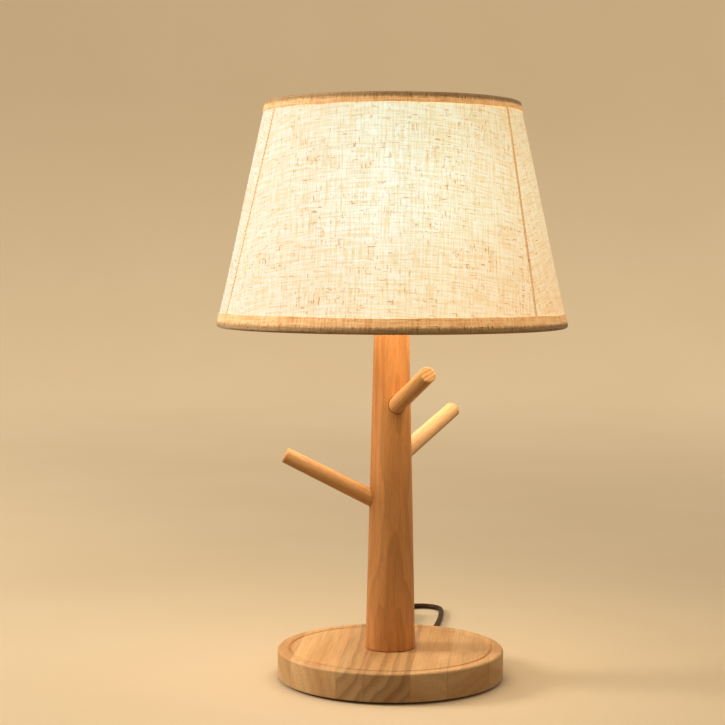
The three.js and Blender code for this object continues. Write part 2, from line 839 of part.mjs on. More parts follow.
// Coil: it spirals in on the ground, climbs in the half turn where it reverses, and spirals out on top
const coilAngle = 2 * Math.PI * coilWholeTurns + THREE.MathUtils.degToRad(coilExtraDegrees);
const spiralAngle = (coilAngle - Math.PI) / 2;
const coilOuterRadius = coilInnerRadius + (coilPitch * spiralAngle) / (2 * Math.PI);

function coilPoint(angle) {
  const wound = angle < spiralAngle ? spiralAngle - angle : Math.max(0, angle - spiralAngle - Math.PI);
  const radius = coilInnerRadius + (coilPitch * wound) / (2 * Math.PI);
  const climbShare = THREE.MathUtils.smoothstep(angle, spiralAngle, spiralAngle + Math.PI);
  return new THREE.Vector3(
    coilX + radius * Math.cos(angle),
    coilY - radius * Math.sin(angle),
    coilLift + coilLayerRise * climbShare,
  );
}

function coilLine() {
  const steps = Math.round((coilStepsPerTurn * coilAngle) / (2 * Math.PI));
  const line = Array.from({ length: steps + 1 }, (_, step) => coilPoint((coilAngle * step) / steps));
  const startWay = new THREE.Vector3(0, 1, 0);
  const endWay = new THREE.Vector3(-Math.sin(coilAngle), -Math.cos(coilAngle), 0);
  line.unshift(line[0].clone().addScaledVector(startWay, cordDiameter));
  line.push(line[line.length - 1].clone().addScaledVector(endWay, cordDiameter));
  return line;
}

// The tube's section stays upright, so it never twists along the coil
function tubeAlong(line, radius, sides) {
  const rings = line.map((point, step) => {
    const before = line[Math.max(step - 1, 0)];
    const after = line[Math.min(step + 1, line.length - 1)];
    const way = new THREE.Vector3().subVectors(after, before).normalize();
    const across = new THREE.Vector3().crossVectors(way, new THREE.Vector3(0, 0, 1)).normalize();
    const up = new THREE.Vector3().crossVectors(across, way);
    return Array.from({ length: sides }, (_, side) => {
      const angle = (2 * Math.PI * side) / sides;
      return point.clone()
        .addScaledVector(across, radius * Math.cos(angle))
        .addScaledVector(up, radius * Math.sin(angle));
    });
  });
  return skin(rings.map((ring) => ring.reverse()));
}

// The least gap between stretches of the coil that lie at least half a turn apart
function leastCoilGap(line) {
  let least = Infinity;
  line.forEach((point, step) => {
    for (let other = step + coilStepsPerTurn / 2; other < line.length; other += 1) {
      least = Math.min(least, point.distanceTo(line[other]) - cordDiameter);
    }
  });
  return least;
}

const coil = coilLine();
const coilTurns = coilAngle / (2 * Math.PI);
console.log(`coil: ${coilTurns.toFixed(2)} turns, outer radius ${coilOuterRadius.toFixed(1)} mm`);
console.log(`coil: least gap to itself ${leastCoilGap(coil).toFixed(2)} mm`);
addPiece('cord_coil', tubeAlong(coil, cordRadius, coilSides), lead());

// Tie: a flat strap closed round the turns at one side of the coil
const tieInner = coilInnerRadius - tieInset;
const tieOuter = coilOuterRadius + tieOutset;
const tieBottom = coilLift - cordRadius - gap;
const tieTop = coilLift + coilLayerRise + cordRadius + gap;

function roundedBox(left, right, bottom, top, radius, shape) {
  shape.moveTo(left + radius, bottom);
  shape.lineTo(right - radius, bottom);
  shape.quadraticCurveTo(right, bottom, right, bottom + radius);
  shape.lineTo(right, top - radius);
  shape.quadraticCurveTo(right, top, right - radius, top);
  shape.lineTo(left + radius, top);
  shape.quadraticCurveTo(left, top, left, top - radius);
  shape.lineTo(left, bottom + radius);
  shape.quadraticCurveTo(left, bottom, left + radius, bottom);
  return shape;
}

function tieGeometry() {
  const [left, right] = [tieInner - tieThickness, tieOuter + tieThickness];
  const [bottom, top] = [tieBottom - tieThickness, tieTop + tieThickness];
  const strap = roundedBox(left, right, bottom, top, cordRadius + tieThickness, new THREE.Shape());
  strap.holes.push(roundedBox(tieInner, tieOuter, tieBottom, tieTop, cordRadius, new THREE.Path()));
  const settings = { depth: tieWidth, bevelEnabled: false, curveSegments: roundSteps };
  const tie = new THREE.ExtrudeGeometry(strap, settings).translate(0, 0, -tieWidth / 2);
  const tieTurn = THREE.MathUtils.degToRad(-tieTurnDegrees);
  return tie.rotateX(Math.PI / 2).rotateZ(tieTurn).translate(coilX, coilY, 0);
}

addPiece('coil_tie', tieGeometry(), lead());

// Plug: sections from the neck to the face, as shares of its length, width and height
const plugSectionShares = [
  { along: 0, wide: (2 * plugNeckRadius) / plugWidth, tall: (2 * plugNeckRadius) / plugHeight, square: 2 },
  { along: 0.32, wide: 0.36, tall: 0.6, square: 2 },
  { along: 0.42, wide: 0.66, tall: 0.86, square: 2.6 },
  { along: 0.56, wide: 0.94, tall: 0.98, square: 3.6 },
  { along: 0.93, wide: 1, tall: 1, square: 4 },
  { along: 1, wide: 0.93, tall: 0.9, square: 4 },
];

function plugGeometry() {
  const rings = plugSectionShares.map(({ along, wide, tall, square }) => (
    Array.from({ length: plugSides }, (_, side) => {
      const angle = (2 * Math.PI * side) / plugSides;
      const bulge = (share) => Math.sign(share) * Math.abs(share) ** (2 / square);
      return new THREE.Vector3(
        plugX - (plugWidth / 2) * wide * bulge(Math.cos(angle)),
        plugY + plugLength * along,
        plugAxisHeight + (plugHeight / 2) * tall * bulge(Math.sin(angle)),
      );
    })
  ));
  return skin(rings);
}

addPiece('plug_body', plugGeometry(), lead());

function bladeGeometry(side) {
  const half = bladeWidth / 2;
  const outline = new THREE.Shape();
  outline.moveTo(0, -half);
  outline.lineTo(bladeLength - bladeTipRound, -half);
  outline.quadraticCurveTo(bladeLength, -half, bladeLength, bladeTipRound - half);
  outline.lineTo(bladeLength, half - bladeTipRound);
  outline.quadraticCurveTo(bladeLength, half, bladeLength - bladeTipRound, half);
  outline.lineTo(0, half);
  outline.holes.push(
    new THREE.Path().absarc(bladeLength - 2 * bladeTipRound, 0, bladeHoleRadius, 0, 2 * Math.PI, true),
  );
  const settings = { depth: bladeThickness, bevelEnabled: false, curveSegments: roundSteps };
  const blade = new THREE.ExtrudeGeometry(outline, settings).translate(0, 0, -bladeThickness / 2);
  return blade.rotateX(Math.PI / 2).rotateZ(Math.PI / 2).translate(
    plugX + (side * bladeSpacing) / 2,
    plugY + plugLength + gap,
    plugAxisHeight,
  );
}

addPiece('plug_blade_left', bladeGeometry(-1), brass());
addPiece('plug_blade_right', bladeGeometry(1), brass());

export default lamp;
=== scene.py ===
# %% [markdown]
# # A bedside lamp with a wooden post and a linen shade
# The lamp is made of turned wood, cloth, wire and a rubber lead. The frame already holds
# each hard piece at its real size, so this lesson mostly gives them their finish, and makes
# one by one what is soft or worn: the linen, its folded tapes, the lead and its plug. +Z is up,
# the front of the lamp looks along -Y, and sizes are in millimetres until MM makes them metres.

# %% Load the frame
import math
import random

import bmesh
import bpy
from mathutils import Euler, Matrix, Vector


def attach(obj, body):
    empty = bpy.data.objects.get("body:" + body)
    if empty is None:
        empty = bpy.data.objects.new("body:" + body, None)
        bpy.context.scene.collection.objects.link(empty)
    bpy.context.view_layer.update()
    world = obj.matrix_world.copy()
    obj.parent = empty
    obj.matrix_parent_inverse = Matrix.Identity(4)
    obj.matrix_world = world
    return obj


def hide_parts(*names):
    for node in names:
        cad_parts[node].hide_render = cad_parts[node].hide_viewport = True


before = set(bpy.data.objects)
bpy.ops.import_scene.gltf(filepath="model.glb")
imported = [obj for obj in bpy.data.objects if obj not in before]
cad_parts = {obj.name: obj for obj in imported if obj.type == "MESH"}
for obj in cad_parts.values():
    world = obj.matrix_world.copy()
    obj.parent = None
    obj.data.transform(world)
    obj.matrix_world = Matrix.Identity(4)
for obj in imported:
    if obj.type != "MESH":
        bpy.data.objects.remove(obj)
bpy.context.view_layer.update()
MM = 0.001

# %% [markdown]
# Three small helpers serve everywhere: one puts an object in the scene, one gives a turn about
# the upright, and one eases a share so that it starts and ends slowly.

# %% Small helpers
def added(name, data):
    made = bpy.data.objects.new(name, data)
    bpy.context.scene.collection.objects.link(made)
    return made


def level_way(turn):
    return Vector((math.cos(turn), math.sin(turn), 0))


def ease(share):
    share = min(max(share, 0), 1)
    return share * share * (3 - 2 * share)


print("ease at a quarter:", ease(0.25))

# %% [markdown]
# ## Camera
# A picture of a lamp is taken from a little above its middle, looking slightly down. A camera
# could be aimed by hand, but one that is set by three angles gives the same picture each time.

# %% The camera
CAMERA_PLACE = Vector((0, -1.480, 0.364))
PITCH, YAW, ROLL = (math.radians(turn) for turn in (3.53, 0.965, 0.2))
SENSOR_WIDTH, FOCAL_SHARE = 36, 1728 / 725
camera_data = bpy.data.cameras.new("camera")
camera_data.sensor_width = SENSOR_WIDTH
camera_data.lens = SENSOR_WIDTH * FOCAL_SHARE
camera = added("camera", camera_data)
aim = Euler((math.pi / 2 - PITCH, 0, YAW)).to_matrix().to_4x4()
camera.matrix_world = Matrix.Translation(CAMERA_PLACE) @ aim @ Matrix.Rotation(ROLL, 4, "Z")
bpy.context.scene.camera = camera
print("camera: lens", round(camera_data.lens, 1), "mm")

# %% [markdown]
# ## The lead
# A mains lead is a fixed length of a springy round cable. It could be drawn as a free curve,
# but then nobody knows how long it is. Here its route is a list of points, the same as in the
# frame, and a smooth line is drawn through them, so its length can be measured.

# %% The lead's route
CORD_DIAMETER = 0.005
TO_SWITCH = [
    (-37.15, 114.34, 5.8), (-38.8, 119.3, 5.7), (-42, 128, 3.9), (-47, 137, 2.6), (-50.5, 147, 2.6),
    (-49, 157.5, 2.6), (-42.5, 165.5, 2.6), (-33.5, 171.5, 2.6), (-24.5, 178, 2.8), (-16.4, 186, 4.4),
    (-11, 193.5, 6.3), (-8.27, 199.64, 7), (-6.95, 204.57, 7),
]
TO_COIL = [
    (7.75, 259.43, 7), (9.07, 264.36, 7), (10.9, 271.2, 6), (13.0, 277.2, 4.2), (16.2, 283.2, 3),
    (21.6, 288.4, 2.6), (28.0, 290.8, 2.6), (35.0, 290.8, 2.6), (41.4, 288.4, 2.6), (46.9, 283.9, 2.6),
    (50.3, 277.8, 2.6), (51.6, 270, 2.6), (51.6, 260, 2.6), (51.0, 248, 2.6), (49.8, 233, 2.6),
    (48.0, 217, 2.6), (45.8, 200, 2.6), (43.2, 184, 2.6), (40.3, 168, 2.8), (37.6, 155, 3.5),
    (36.6, 147, 3.85), (36.35, 141.75, 3.9),
]
TO_PLUG = [
    (32.44, 119.62, 9.9), (30.76, 114.97, 9.9), (26.8, 109.0, 9.9), (21.5, 104.6, 10.2),
    (15.0, 102.2, 11.2), (8.0, 102.2, 12.9), (1.5, 104.6, 15.1), (-3.8, 109.0, 17.1),
    (-7.3, 115.1, 18.8), (-8.5, 121.9, 20), (-8.5, 127.0, 20.1),
]


def smooth_route(points, per_span=6):
    """A centripetal Catmull-Rom line through points in millimetres, ends included."""
    points = [Vector(p) * MM for p in points]
    ends = [2 * points[0] - points[1], *points, 2 * points[-1] - points[-2]]
    line = []
    for a, b, c, d in zip(ends, ends[1:], ends[2:], ends[3:]):
        tb = (b - a).length ** 0.5
        tc = tb + (c - b).length ** 0.5
        td = tc + (d - c).length ** 0.5
        for step in range(per_span):
            t = tb + (tc - tb) * step / per_span
            ab = a.lerp(b, t / tb)
            bc = b.lerp(c, (t - tb) / (tc - tb))
            cd = c.lerp(d, (t - tc) / (td - tc))
            abc = ab.lerp(bc, t / tc)
            bcd = bc.lerp(cd, (t - tb) / (td - tb))
            line.append(abc.lerp(bcd, (t - tb) / (tc - tb)))
    return [*line, points[-1]]


print("route:", len(TO_SWITCH), "points to the switch,", len(TO_COIL) + len(TO_PLUG), "round the coil")

# %% [markdown]
# The spare length is wound up. A coil by hand has two layers: the turns run inward below, climb at
# the middle and run outward on top. A formula gives such a coil in any number of turns.

# %% The coil
COIL_MIDDLE = Vector((0.002, 0.1364, 0))
COIL_INNER_RADIUS, COIL_PITCH, COIL_RISE, COIL_LIFT = 0.020, 0.0063, 0.006, 0.0039
COIL_ANGLE = math.radians(5 * 360 + 20)
COIL_SAG, SAG_START, SAG_RUN = 0.0013, 0.010, 0.014


def coil_route(steps_per_turn=48):
    """The coil's middle line, a little lower away from the strap under it."""
    spiral = (COIL_ANGLE - math.pi) / 2
    steps = round(steps_per_turn * COIL_ANGLE / (2 * math.pi))
    line = []
    for step in range(steps + 1):
        angle = COIL_ANGLE * step / steps
        wound = spiral - angle if angle < spiral else max(0, angle - spiral - math.pi)
        out = level_way(-angle) * (COIL_INNER_RADIUS + COIL_PITCH * wound / (2 * math.pi))
        out.z = COIL_LIFT + COIL_RISE * ease((angle - spiral) / math.pi)
        out.z -= COIL_SAG * ease((out.y - SAG_START) / SAG_RUN)
        line.append(COIL_MIDDLE + out)
    return line


print("coil:", round(COIL_ANGLE / (2 * math.pi), 2), "turns")

# %% [markdown]
# A curve with a round bevel is the right tool for a cable: the curve is the middle line, which
# gives the true length, and the bevel is the sheath. Two cables are needed, because the switch
# is spliced in between them.

# %% The two stretches of the lead
def cable(name, line):
    data = bpy.data.curves.new(name, "CURVE")
    data.dimensions = "3D"
    data.bevel_depth = CORD_DIAMETER / 2
    data.bevel_resolution = 5
    data.use_fill_caps = True
    spline = data.splines.new("POLY")
    spline.points.add(len(line) - 1)
    for point, place in zip(spline.points, line):
        point.co = (*place, 1)
    spline.use_smooth = True
    print(name, "is", round(sum((b - a).length for a, b in zip(line, line[1:])), 4), "m long")
    return added(name, data)


line_to_switch = smooth_route(TO_SWITCH)
line_to_plug = [*smooth_route(TO_COIL), *coil_route(), *smooth_route(TO_PLUG)]
lead_to_switch = cable("lead_to_switch", line_to_switch)
lead_to_plug = cable("lead_to_plug", line_to_plug)

# %% [markdown]
# ## Tools for the finishes
# A finish is a small graph of nodes round one Principled shader. Writing each graph by hand
# with links is long, so a small class gives a short word for each step: noise, ramp, mix, bump.
# Colours are written as they look on screen, from 0 to 255, and turned into light values.

# %% Colours
def paint(*channels):
    shares = [channel / 255 for channel in channels]
    return *[s / 12.92 if s <= 0.04045 else ((s + 0.055) / 1.055) ** 2.4 for s in shares], 1


print("warm white as light:", [round(v, 3) for v in paint(255, 240, 220)])

# %% Graphs
class Graph:
    """Short words for the nodes of one node tree."""

    def __init__(self, tree):
        self.tree = tree

    def put(self, socket, value):
        if isinstance(value, bpy.types.NodeSocket):
            self.tree.links.new(value, socket)
        else:
            socket.default_value = value

    def node(self, kind, inputs, **settings):
        made = self.tree.nodes.new("ShaderNode" + kind)
        for name, value in settings.items():
            setattr(made, name, value)
        for place, value in inputs.items():
            self.put(made.inputs[place], value)
        return made

    def place(self):
        return self.node("TexCoord", {}).outputs["Object"]

    def vector(self, operation, *values, out="Vector"):
        return self.node("VectorMath", dict(enumerate(values)), operation=operation).outputs[out]

    def along(self, place, way):
        return self.vector("DOT_PRODUCT", place, way, out="Value")

    def stretch(self, place, x, y, z):
        return self.vector("MULTIPLY", place, (x, y, z))

    def point(self, x, y, z):
        return self.node("CombineXYZ", {0: x, 1: y, 2: z}).outputs[0]

    def math(self, operation, *values):
        return self.node("Math", dict(enumerate(values)), operation=operation).outputs[0]

    def times(self, value, by, *plus):
        return self.math("MULTIPLY_ADD" if plus else "MULTIPLY", value, by, *plus)

    def rest(self, share):
        return self.math("SUBTRACT", 1, share)

    def noise(self, place, scale=1.0, detail=2.0, distortion=0.0):
        sockets = {"Vector": place, "Scale": scale, "Detail": detail, "Distortion": distortion}
        return self.node("TexNoise", sockets).outputs[0]

    def step(self, value, low, high):
        """0 below low, 1 above high, smooth between."""
        sockets = {"Value": value, "From Min": low, "From Max": high}
        return self.node("MapRange", sockets, interpolation_type="SMOOTHSTEP").outputs[0]

    def ramp(self, value, *stops):
        """Colours at given shares: each stop is a share and a tone."""
        made = self.node("ValToRGB", {0: value})
        elements = made.color_ramp.elements
        for _ in stops[2:]:
            elements.new(0.5)
        for element, (at, tone) in zip(elements, stops):
            element.position = at
            element.color = (*tone[:3], 1)
        return made.outputs[0]

    def mix(self, share, a, b, blend="MIX"):
        return self.node("Mix", {0: share, 6: a, 7: b}, data_type="RGBA", blend_type=blend).outputs[2]

    def tint(self, a, b):
        return self.mix(1.0, a, b, "MULTIPLY")


print("graph: words for", ", ".join(word for word in vars(Graph) if not word.startswith("_")))

# %% [markdown]
# Most hard pieces need the same three things: two tones that drift into each other, a gloss that
# varies, and a very fine relief. One function makes such a finish from the noises it is given.

# %% Finishes
class Finish(Graph):
    """One material round a Principled shader, whose sockets can be named."""

    def __init__(self, name, **sockets):
        self.material = bpy.data.materials.new(name)
        self.material.use_nodes = True
        super().__init__(self.material.node_tree)
        self.surface = self.tree.nodes["Principled BSDF"].inputs
        for socket, value in sockets.items():
            self.put(self.surface[socket.replace("_", " ").title().replace("Ior", "IOR")], value)

    def colour(self, value):
        self.put(self.surface["Base Color"], value)

    def glow(self, value):
        self.put(self.surface["Emission Color"], value)

    def roughness(self, value, low, high):
        sockets = {"Value": value, "To Min": low, "To Max": high}
        self.put(self.surface["Roughness"], self.node("MapRange", sockets).outputs[0])

    def bump(self, height, depth):
        sockets = {"Height": height, "Distance": depth, "Strength": 1.0}
        self.put(self.surface["Normal"], self.node("Bump", sockets).outputs[0])


def cloudy(name, cloud, *stops, gloss=None, relief=None, **sockets):
    """A finish of two tones. cloud is a noise's scale and detail; gloss and relief end with
    such a noise, after the two limits of the roughness or the depth."""
    finish = Finish(name, **sockets)
    place = finish.place()
    finish.colour(finish.ramp(finish.noise(place, *cloud), *stops))
    if gloss:
        finish.roughness(finish.noise(place, *gloss[2:]), *gloss[:2])
    if relief:
        finish.bump(finish.noise(place, *relief[1:]), relief[0])
    return finish


def dress(piece, finish, body, slot_name, *nodes):
    """Gives a piece its finish, its body and the pieces of the frame that it replaces."""
    piece.data.materials.clear()
    piece.data.materials.append(finish.material)
    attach(piece, body)
    if nodes:
        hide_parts(*nodes)
    print(piece.name, "rides on", body, "and replaces", nodes or "nothing")
    return piece


def dress_nodes(finish, *names):
    """Gives pieces of the frame their finish, slot by slot."""
    for name in names:
        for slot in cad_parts[name].material_slots:
            slot.material = finish.material
    print(finish.material.name, "on", ", ".join(names))


# %% [markdown]
# ## Wood
# The board, the post and the branches are one pale hardwood. Wood could be a flat picture
# wrapped round each piece, but then the rings do not meet at the edges. Here the rings are
# sheets in space, so the top shows long lines and a cut edge shows the rings end on, as in a
# real plank. Fine fibres and short pores run along the grain.

# %% The wood
PALE_WOOD = paint(238, 189, 127)
MID_WOOD = paint(218, 163, 101)
DEEP_WOOD = paint(148, 90, 42)
WOOD_SURFACE = {"roughness": 0.5, "specular_ior_level": 0.35}
RINGS_PER_METRE, DOWEL_RINGS_PER_METRE, BOARD_RINGS_PER_METRE = 150, 320, 105
WANDER_ACROSS, WANDER_ALONG = 20, 5
BANDS_ACROSS, BANDS_DOWN, BANDS_ALONG = 42, 12, 3
LATE_FROM, LATE_TO = 0.25, 0.9
FIBRE_DENSITY, FIBRE_STRETCH = 900, 22
STREAK_FROM, STREAK_TO, PORE_FROM, PORE_TO = 0.44, 0.68, 0.58, 0.70
STREAK_SHARE, PORE_SHARE = 0.20, 0.26
WOOD_SMOOTH, WOOD_ROUGH, WOOD_RELIEF = 0.40, 0.60, 0.00006


def grain(wood, across, depth, way, tilt, shift, contrast, tone, rings=RINGS_PER_METRE, wander_size=7):
    """Gives the wood its look from lengths along its three directions; tilt turns the rings."""
    sideways, down = wood.times(across, WANDER_ACROSS), wood.times(depth, WANDER_ACROSS)
    wander = wood.noise(wood.point(sideways, down, wood.times(way, WANDER_ALONG, shift)), detail=3)
    leaning, rising = wood.math("COSINE", tilt), wood.math("SINE", tilt)
    slant = wood.math("ADD", wood.times(across, leaning), wood.times(depth, rising))
    turns = wood.math("FRACT", wood.times(slant, rings, wood.times(wander, wander_size, shift)))
    late_wood = wood.times(wood.step(turns, LATE_FROM, LATE_TO), wood.rest(wood.step(turns, LATE_TO, 1)))
    sideways, down = wood.times(slant, BANDS_ACROSS, shift), wood.times(depth, BANDS_DOWN)
    bands = wood.noise(wood.point(sideways, down, wood.times(way, BANDS_ALONG)), detail=2)
    sideways, down = wood.times(across, FIBRE_DENSITY, shift), wood.times(depth, FIBRE_DENSITY)
    fibre_place = wood.point(sideways, down, wood.times(way, FIBRE_STRETCH))
    fibres = wood.noise(fibre_place, detail=3)
    specks = wood.noise(wood.stretch(fibre_place, 1.9, 1.9, 6.0), detail=1)
    pores = wood.step(specks, PORE_FROM, PORE_TO)
    body = wood.ramp(bands, (0.36, MID_WOOD), (0.64, PALE_WOOD))
    streaks = wood.step(fibres, STREAK_FROM, STREAK_TO)
    for dark, share in ((late_wood, contrast), (streaks, STREAK_SHARE), (pores, PORE_SHARE)):
        body = wood.mix(wood.times(dark, share), body, DEEP_WOOD)
    body = wood.tint(body, tone)
    wood.colour(body)
    wood.roughness(fibres, WOOD_SMOOTH, WOOD_ROUGH)
    wood.bump(wood.math("SUBTRACT", wood.times(fibres, 0.35), pores), WOOD_RELIEF)
    return body


def turned_wood(name, way, tilt, shift, contrast, tone, tip=None):
    """Wood whose grain runs along one straight line; past tip the cut end shows its rings."""
    wood = Finish(name, **WOOD_SURFACE)
    way = Vector(way).normalized()
    side = way.orthogonal().normalized()
    place = wood.place()
    if tip is not None:
        contrast = wood.times(wood.math("GREATER_THAN", wood.along(place, way), tip), 0.45, contrast)
    ways = (wood.along(place, line) for line in (side, way.cross(side), way))
    rings = RINGS_PER_METRE if tip is None else DOWEL_RINGS_PER_METRE
    return wood, grain(wood, *ways, tilt, shift, contrast, tone, rings)


print("wood: rings every", round(1 / MM / RINGS_PER_METRE, 1), "mm")

# %% [markdown]
# ## Turning on a lathe
# Most of this lamp is round. A lathe cuts a profile, and the same profile spun round a line gives
# the mesh. Corners stay crisp because edges that turn sharply are marked sharp, and all the
# other faces are shaded smooth. Every other form here is rows of points with a skin over them.

# %% Skins
SMOOTH_LIMIT = math.radians(32)


def skin(made, rows, ring=False, caps=False):
    """Faces between loops of points, or a pole; ring joins the last to the first."""
    for low, high in zip(rows, rows[1:] + rows[:1] if ring else rows[1:]):
        sides = max(len(low), len(high))
        low, high = (row if len(row) > 1 else row * sides for row in (low, high))
        for side in range(sides):
            after = (side + 1) % sides
            made.faces.new(list(dict.fromkeys((low[side], low[after], high[after], high[side]))))
    if caps:
        made.faces.new(rows[0])
        made.faces.new(rows[-1])


def mesh_piece(name, made):
    """A new object from a bmesh, smooth except at its sharp edges."""
    bmesh.ops.recalc_face_normals(made, faces=made.faces)
    for face in made.faces:
        face.smooth = True
    for edge in made.edges:
        edge.smooth = len(edge.link_faces) == 2 and edge.calc_face_angle(0) < SMOOTH_LIMIT
    data = bpy.data.meshes.new(name)
    made.to_mesh(data)
    made.free()
    return added(name, data)


def skinned(name, rows, **joins):
    """A new object from rows of places in metres."""
    made = bmesh.new()
    skin(made, [[made.verts.new(place) for place in row] for row in rows], **joins)
    return mesh_piece(name, made)


print("edges are sharp from", round(math.degrees(SMOOTH_LIMIT)), "degrees")

# %% The lathe
def turned(name, profile, sides=128, lie=Matrix.Identity(4)):
    """Spins (radius, height) points in millimetres; one that ends where it starts is a ring."""
    ring = profile[0] == profile[-1]
    rows = []
    for radius, height in profile[:-1] if ring else profile:
        up = Vector((0, 0, height * MM))
        turns = [2 * math.pi * side / sides for side in range(sides)] if radius else [0]
        rows.append([lie @ (level_way(turn) * (radius * MM) + up) for turn in turns])
    return skinned(name, rows, ring=ring)


def rounding(centre_radius, centre_height, radius, start, end, steps=6):
    """Points of an arc, as (radius, height)."""
    turns = [math.radians(start + (end - start) * step / steps) for step in range(steps + 1)]
    return [(centre_radius + radius * math.cos(t), centre_height + radius * math.sin(t)) for t in turns]


def lying(place, way):
    """Where a piece lies whose own upright points along way."""
    return Matrix.Translation(place) @ way.to_track_quat("Z", "Y").to_matrix().to_4x4()


def block(name, low, high, lie):
    """A box between two corners in millimetres."""
    made = bmesh.new()
    low, high = Vector(low) * MM, Vector(high) * MM
    fill = Matrix.Translation((low + high) / 2) @ Matrix.Diagonal((*(high - low), 1))
    bmesh.ops.create_cube(made, size=1, matrix=lie @ fill)
    return mesh_piece(name, made)


def cut_away(piece, cutter):
    """Cuts one piece out of another, and keeps only the result."""
    cut = piece.modifiers.new("cut", "BOOLEAN")
    cut.object = cutter
    cut.solver = "EXACT"
    graph = bpy.context.evaluated_depsgraph_get()
    result = bpy.data.meshes.new_from_object(piece.evaluated_get(graph))
    piece.modifiers.remove(cut)
    piece.data = result
    bpy.data.objects.remove(cutter)
    print(piece.name, "has", len(result.polygons), "faces after the cut")


print("an arc of 90 degrees has", len(rounding(0, 0, 1, 0, 90)), "points")

# %% [markdown]
# ## The board
# The board is glued up from staves about 44 mm wide, jointed end to end, then turned round. One
# even wood would hide that, so each stave has its own tone, strength, turn and shift of the
# rings. The staves lean a few degrees from straight back.

# %% The staves
STAVE_LEAN = math.radians(4.2)
STAVES = [
    # right edge in mm, tone, strength of the rings, turn of the rings, shift along them
    (-80, 1.00, 0.12, 0.5, 3.0),
    (-38, 1.04, 0.11, 0.3, 11.0),
    # the two middle staves are darker: partly their own tone, partly painted shade where light grazes the
    # board
    (-15, 0.85, 0.40, 2.44, 23.0),
    (23, 0.84, 0.44, 2.44, 23.4),
    (53, 0.92, 0.10, 1.1, 41.0),
    (86, 0.91, 0.13, 2.0, 57.0),
    (None, 0.97, 0.16, 0.8, 71.0),
]
JOINTED_FROM, END_JOINT, FRONT_TONE, FRONT_SHIFT = STAVES[3][0], -12, 0.035, 7.3
GLUE_HALF_WIDTH, GLUE_STRENGTH = 0.0005, 0.30


def board_finish():
    wood = Finish("board_wood", **WOOD_SURFACE)
    place = wood.place()
    across = wood.along(place, (math.cos(STAVE_LEAN), -math.sin(STAVE_LEAN), 0))
    way = wood.along(place, (math.sin(STAVE_LEAN), math.cos(STAVE_LEAN), 0))
    depth = wood.along(place, (0, 0, 1))
    facts = STAVES[0][1:]
    seam = 0.0
    for (edge, *here), (_, *beyond) in zip(STAVES, STAVES[1:]):
        past = wood.math("GREATER_THAN", across, edge * MM)
        facts = [wood.times(past, b - a, fact) for fact, a, b in zip(facts, here, beyond)]
        near = wood.math("ABSOLUTE", wood.math("SUBTRACT", across, edge * MM))
        seam = wood.math("MAXIMUM", seam, wood.rest(wood.step(near, 0.0001, GLUE_HALF_WIDTH)))
    tone, contrast, tilt, shift = facts
    jointed = wood.math("GREATER_THAN", across, JOINTED_FROM * MM)
    front = wood.times(jointed, wood.math("LESS_THAN", way, END_JOINT * MM))
    tone = wood.times(front, FRONT_TONE, tone)
    shift = wood.times(front, FRONT_SHIFT, shift)
    tones = wood.point(tone, wood.times(tone, 0.985), wood.times(tone, 0.97))
    body = grain(wood, across, depth, way, tilt, shift, contrast, tones, BOARD_RINGS_PER_METRE, wander_size=3)
    wood.colour(wood.mix(wood.times(seam, GLUE_STRENGTH), body, DEEP_WOOD))
    return wood


print("board:", len(STAVES), "staves")

# %% [markdown]
# The board is turned with a small round at its top edge, a smaller one at its foot and a ring
# groove. A pocket underneath holds the nut, and a channel lets the lead out at the back.

# %% The board
BOARD_RADIUS, BOARD_LOW, BOARD_HIGH = 97.5, 1.8, 25.8
EDGE_ROUND, FOOT_ROUND = 2.0, 1.2
POCKET_RADIUS, POCKET_TOP, PIPE_HOLE = 24, 17.8, 5.3
GROOVE_RADIUS, GROOVE_DEPTH, GROOVE_HALF, GROOVE_LIP, LIP_DROP = 86.7, 1.4, 1.3, 1.7, 0.15
GROOVE_TURNS = (0.0, 0.6, 1.2, 1.57, 1.94, 2.54, 3.14)
EXIT_TURN = math.radians(108)
CHANNEL_LOW, CHANNEL_HIGH = (12.5, -4, -0.2), (102.5, 4, 9.8)
groove = [
    (GROOVE_RADIUS + GROOVE_HALF * math.cos(t), BOARD_HIGH - LIP_DROP - GROOVE_DEPTH * math.sin(t))
    for t in GROOVE_TURNS
]
board = turned("board", [
    (POCKET_RADIUS, BOARD_LOW), (BOARD_RADIUS - FOOT_ROUND, BOARD_LOW),
    *rounding(BOARD_RADIUS - FOOT_ROUND, BOARD_LOW + FOOT_ROUND, FOOT_ROUND, -60, 0, 3),
    *rounding(BOARD_RADIUS - EDGE_ROUND, BOARD_HIGH - EDGE_ROUND, EDGE_ROUND, 0, 90, 8),
    (GROOVE_RADIUS + GROOVE_LIP, BOARD_HIGH),
    *groove, (GROOVE_RADIUS - GROOVE_LIP, BOARD_HIGH), (60, BOARD_HIGH), (PIPE_HOLE, BOARD_HIGH),
    (PIPE_HOLE, POCKET_TOP), (POCKET_RADIUS, POCKET_TOP), (POCKET_RADIUS, BOARD_LOW),
], sides=192)
to_exit = Matrix.Rotation(EXIT_TURN, 4, "Z")
cut_away(board, block("channel_cutter", CHANNEL_LOW, CHANNEL_HIGH, to_exit))
dress(board, board_finish(), "stand", "wood", "base_board")

# %% [markdown]
# Under the board is a disc of pressed felt that keeps it from sliding. Felt has no weave: it is
# a mat of short hairs, so its finish is fine noise in all directions and no shine at all.

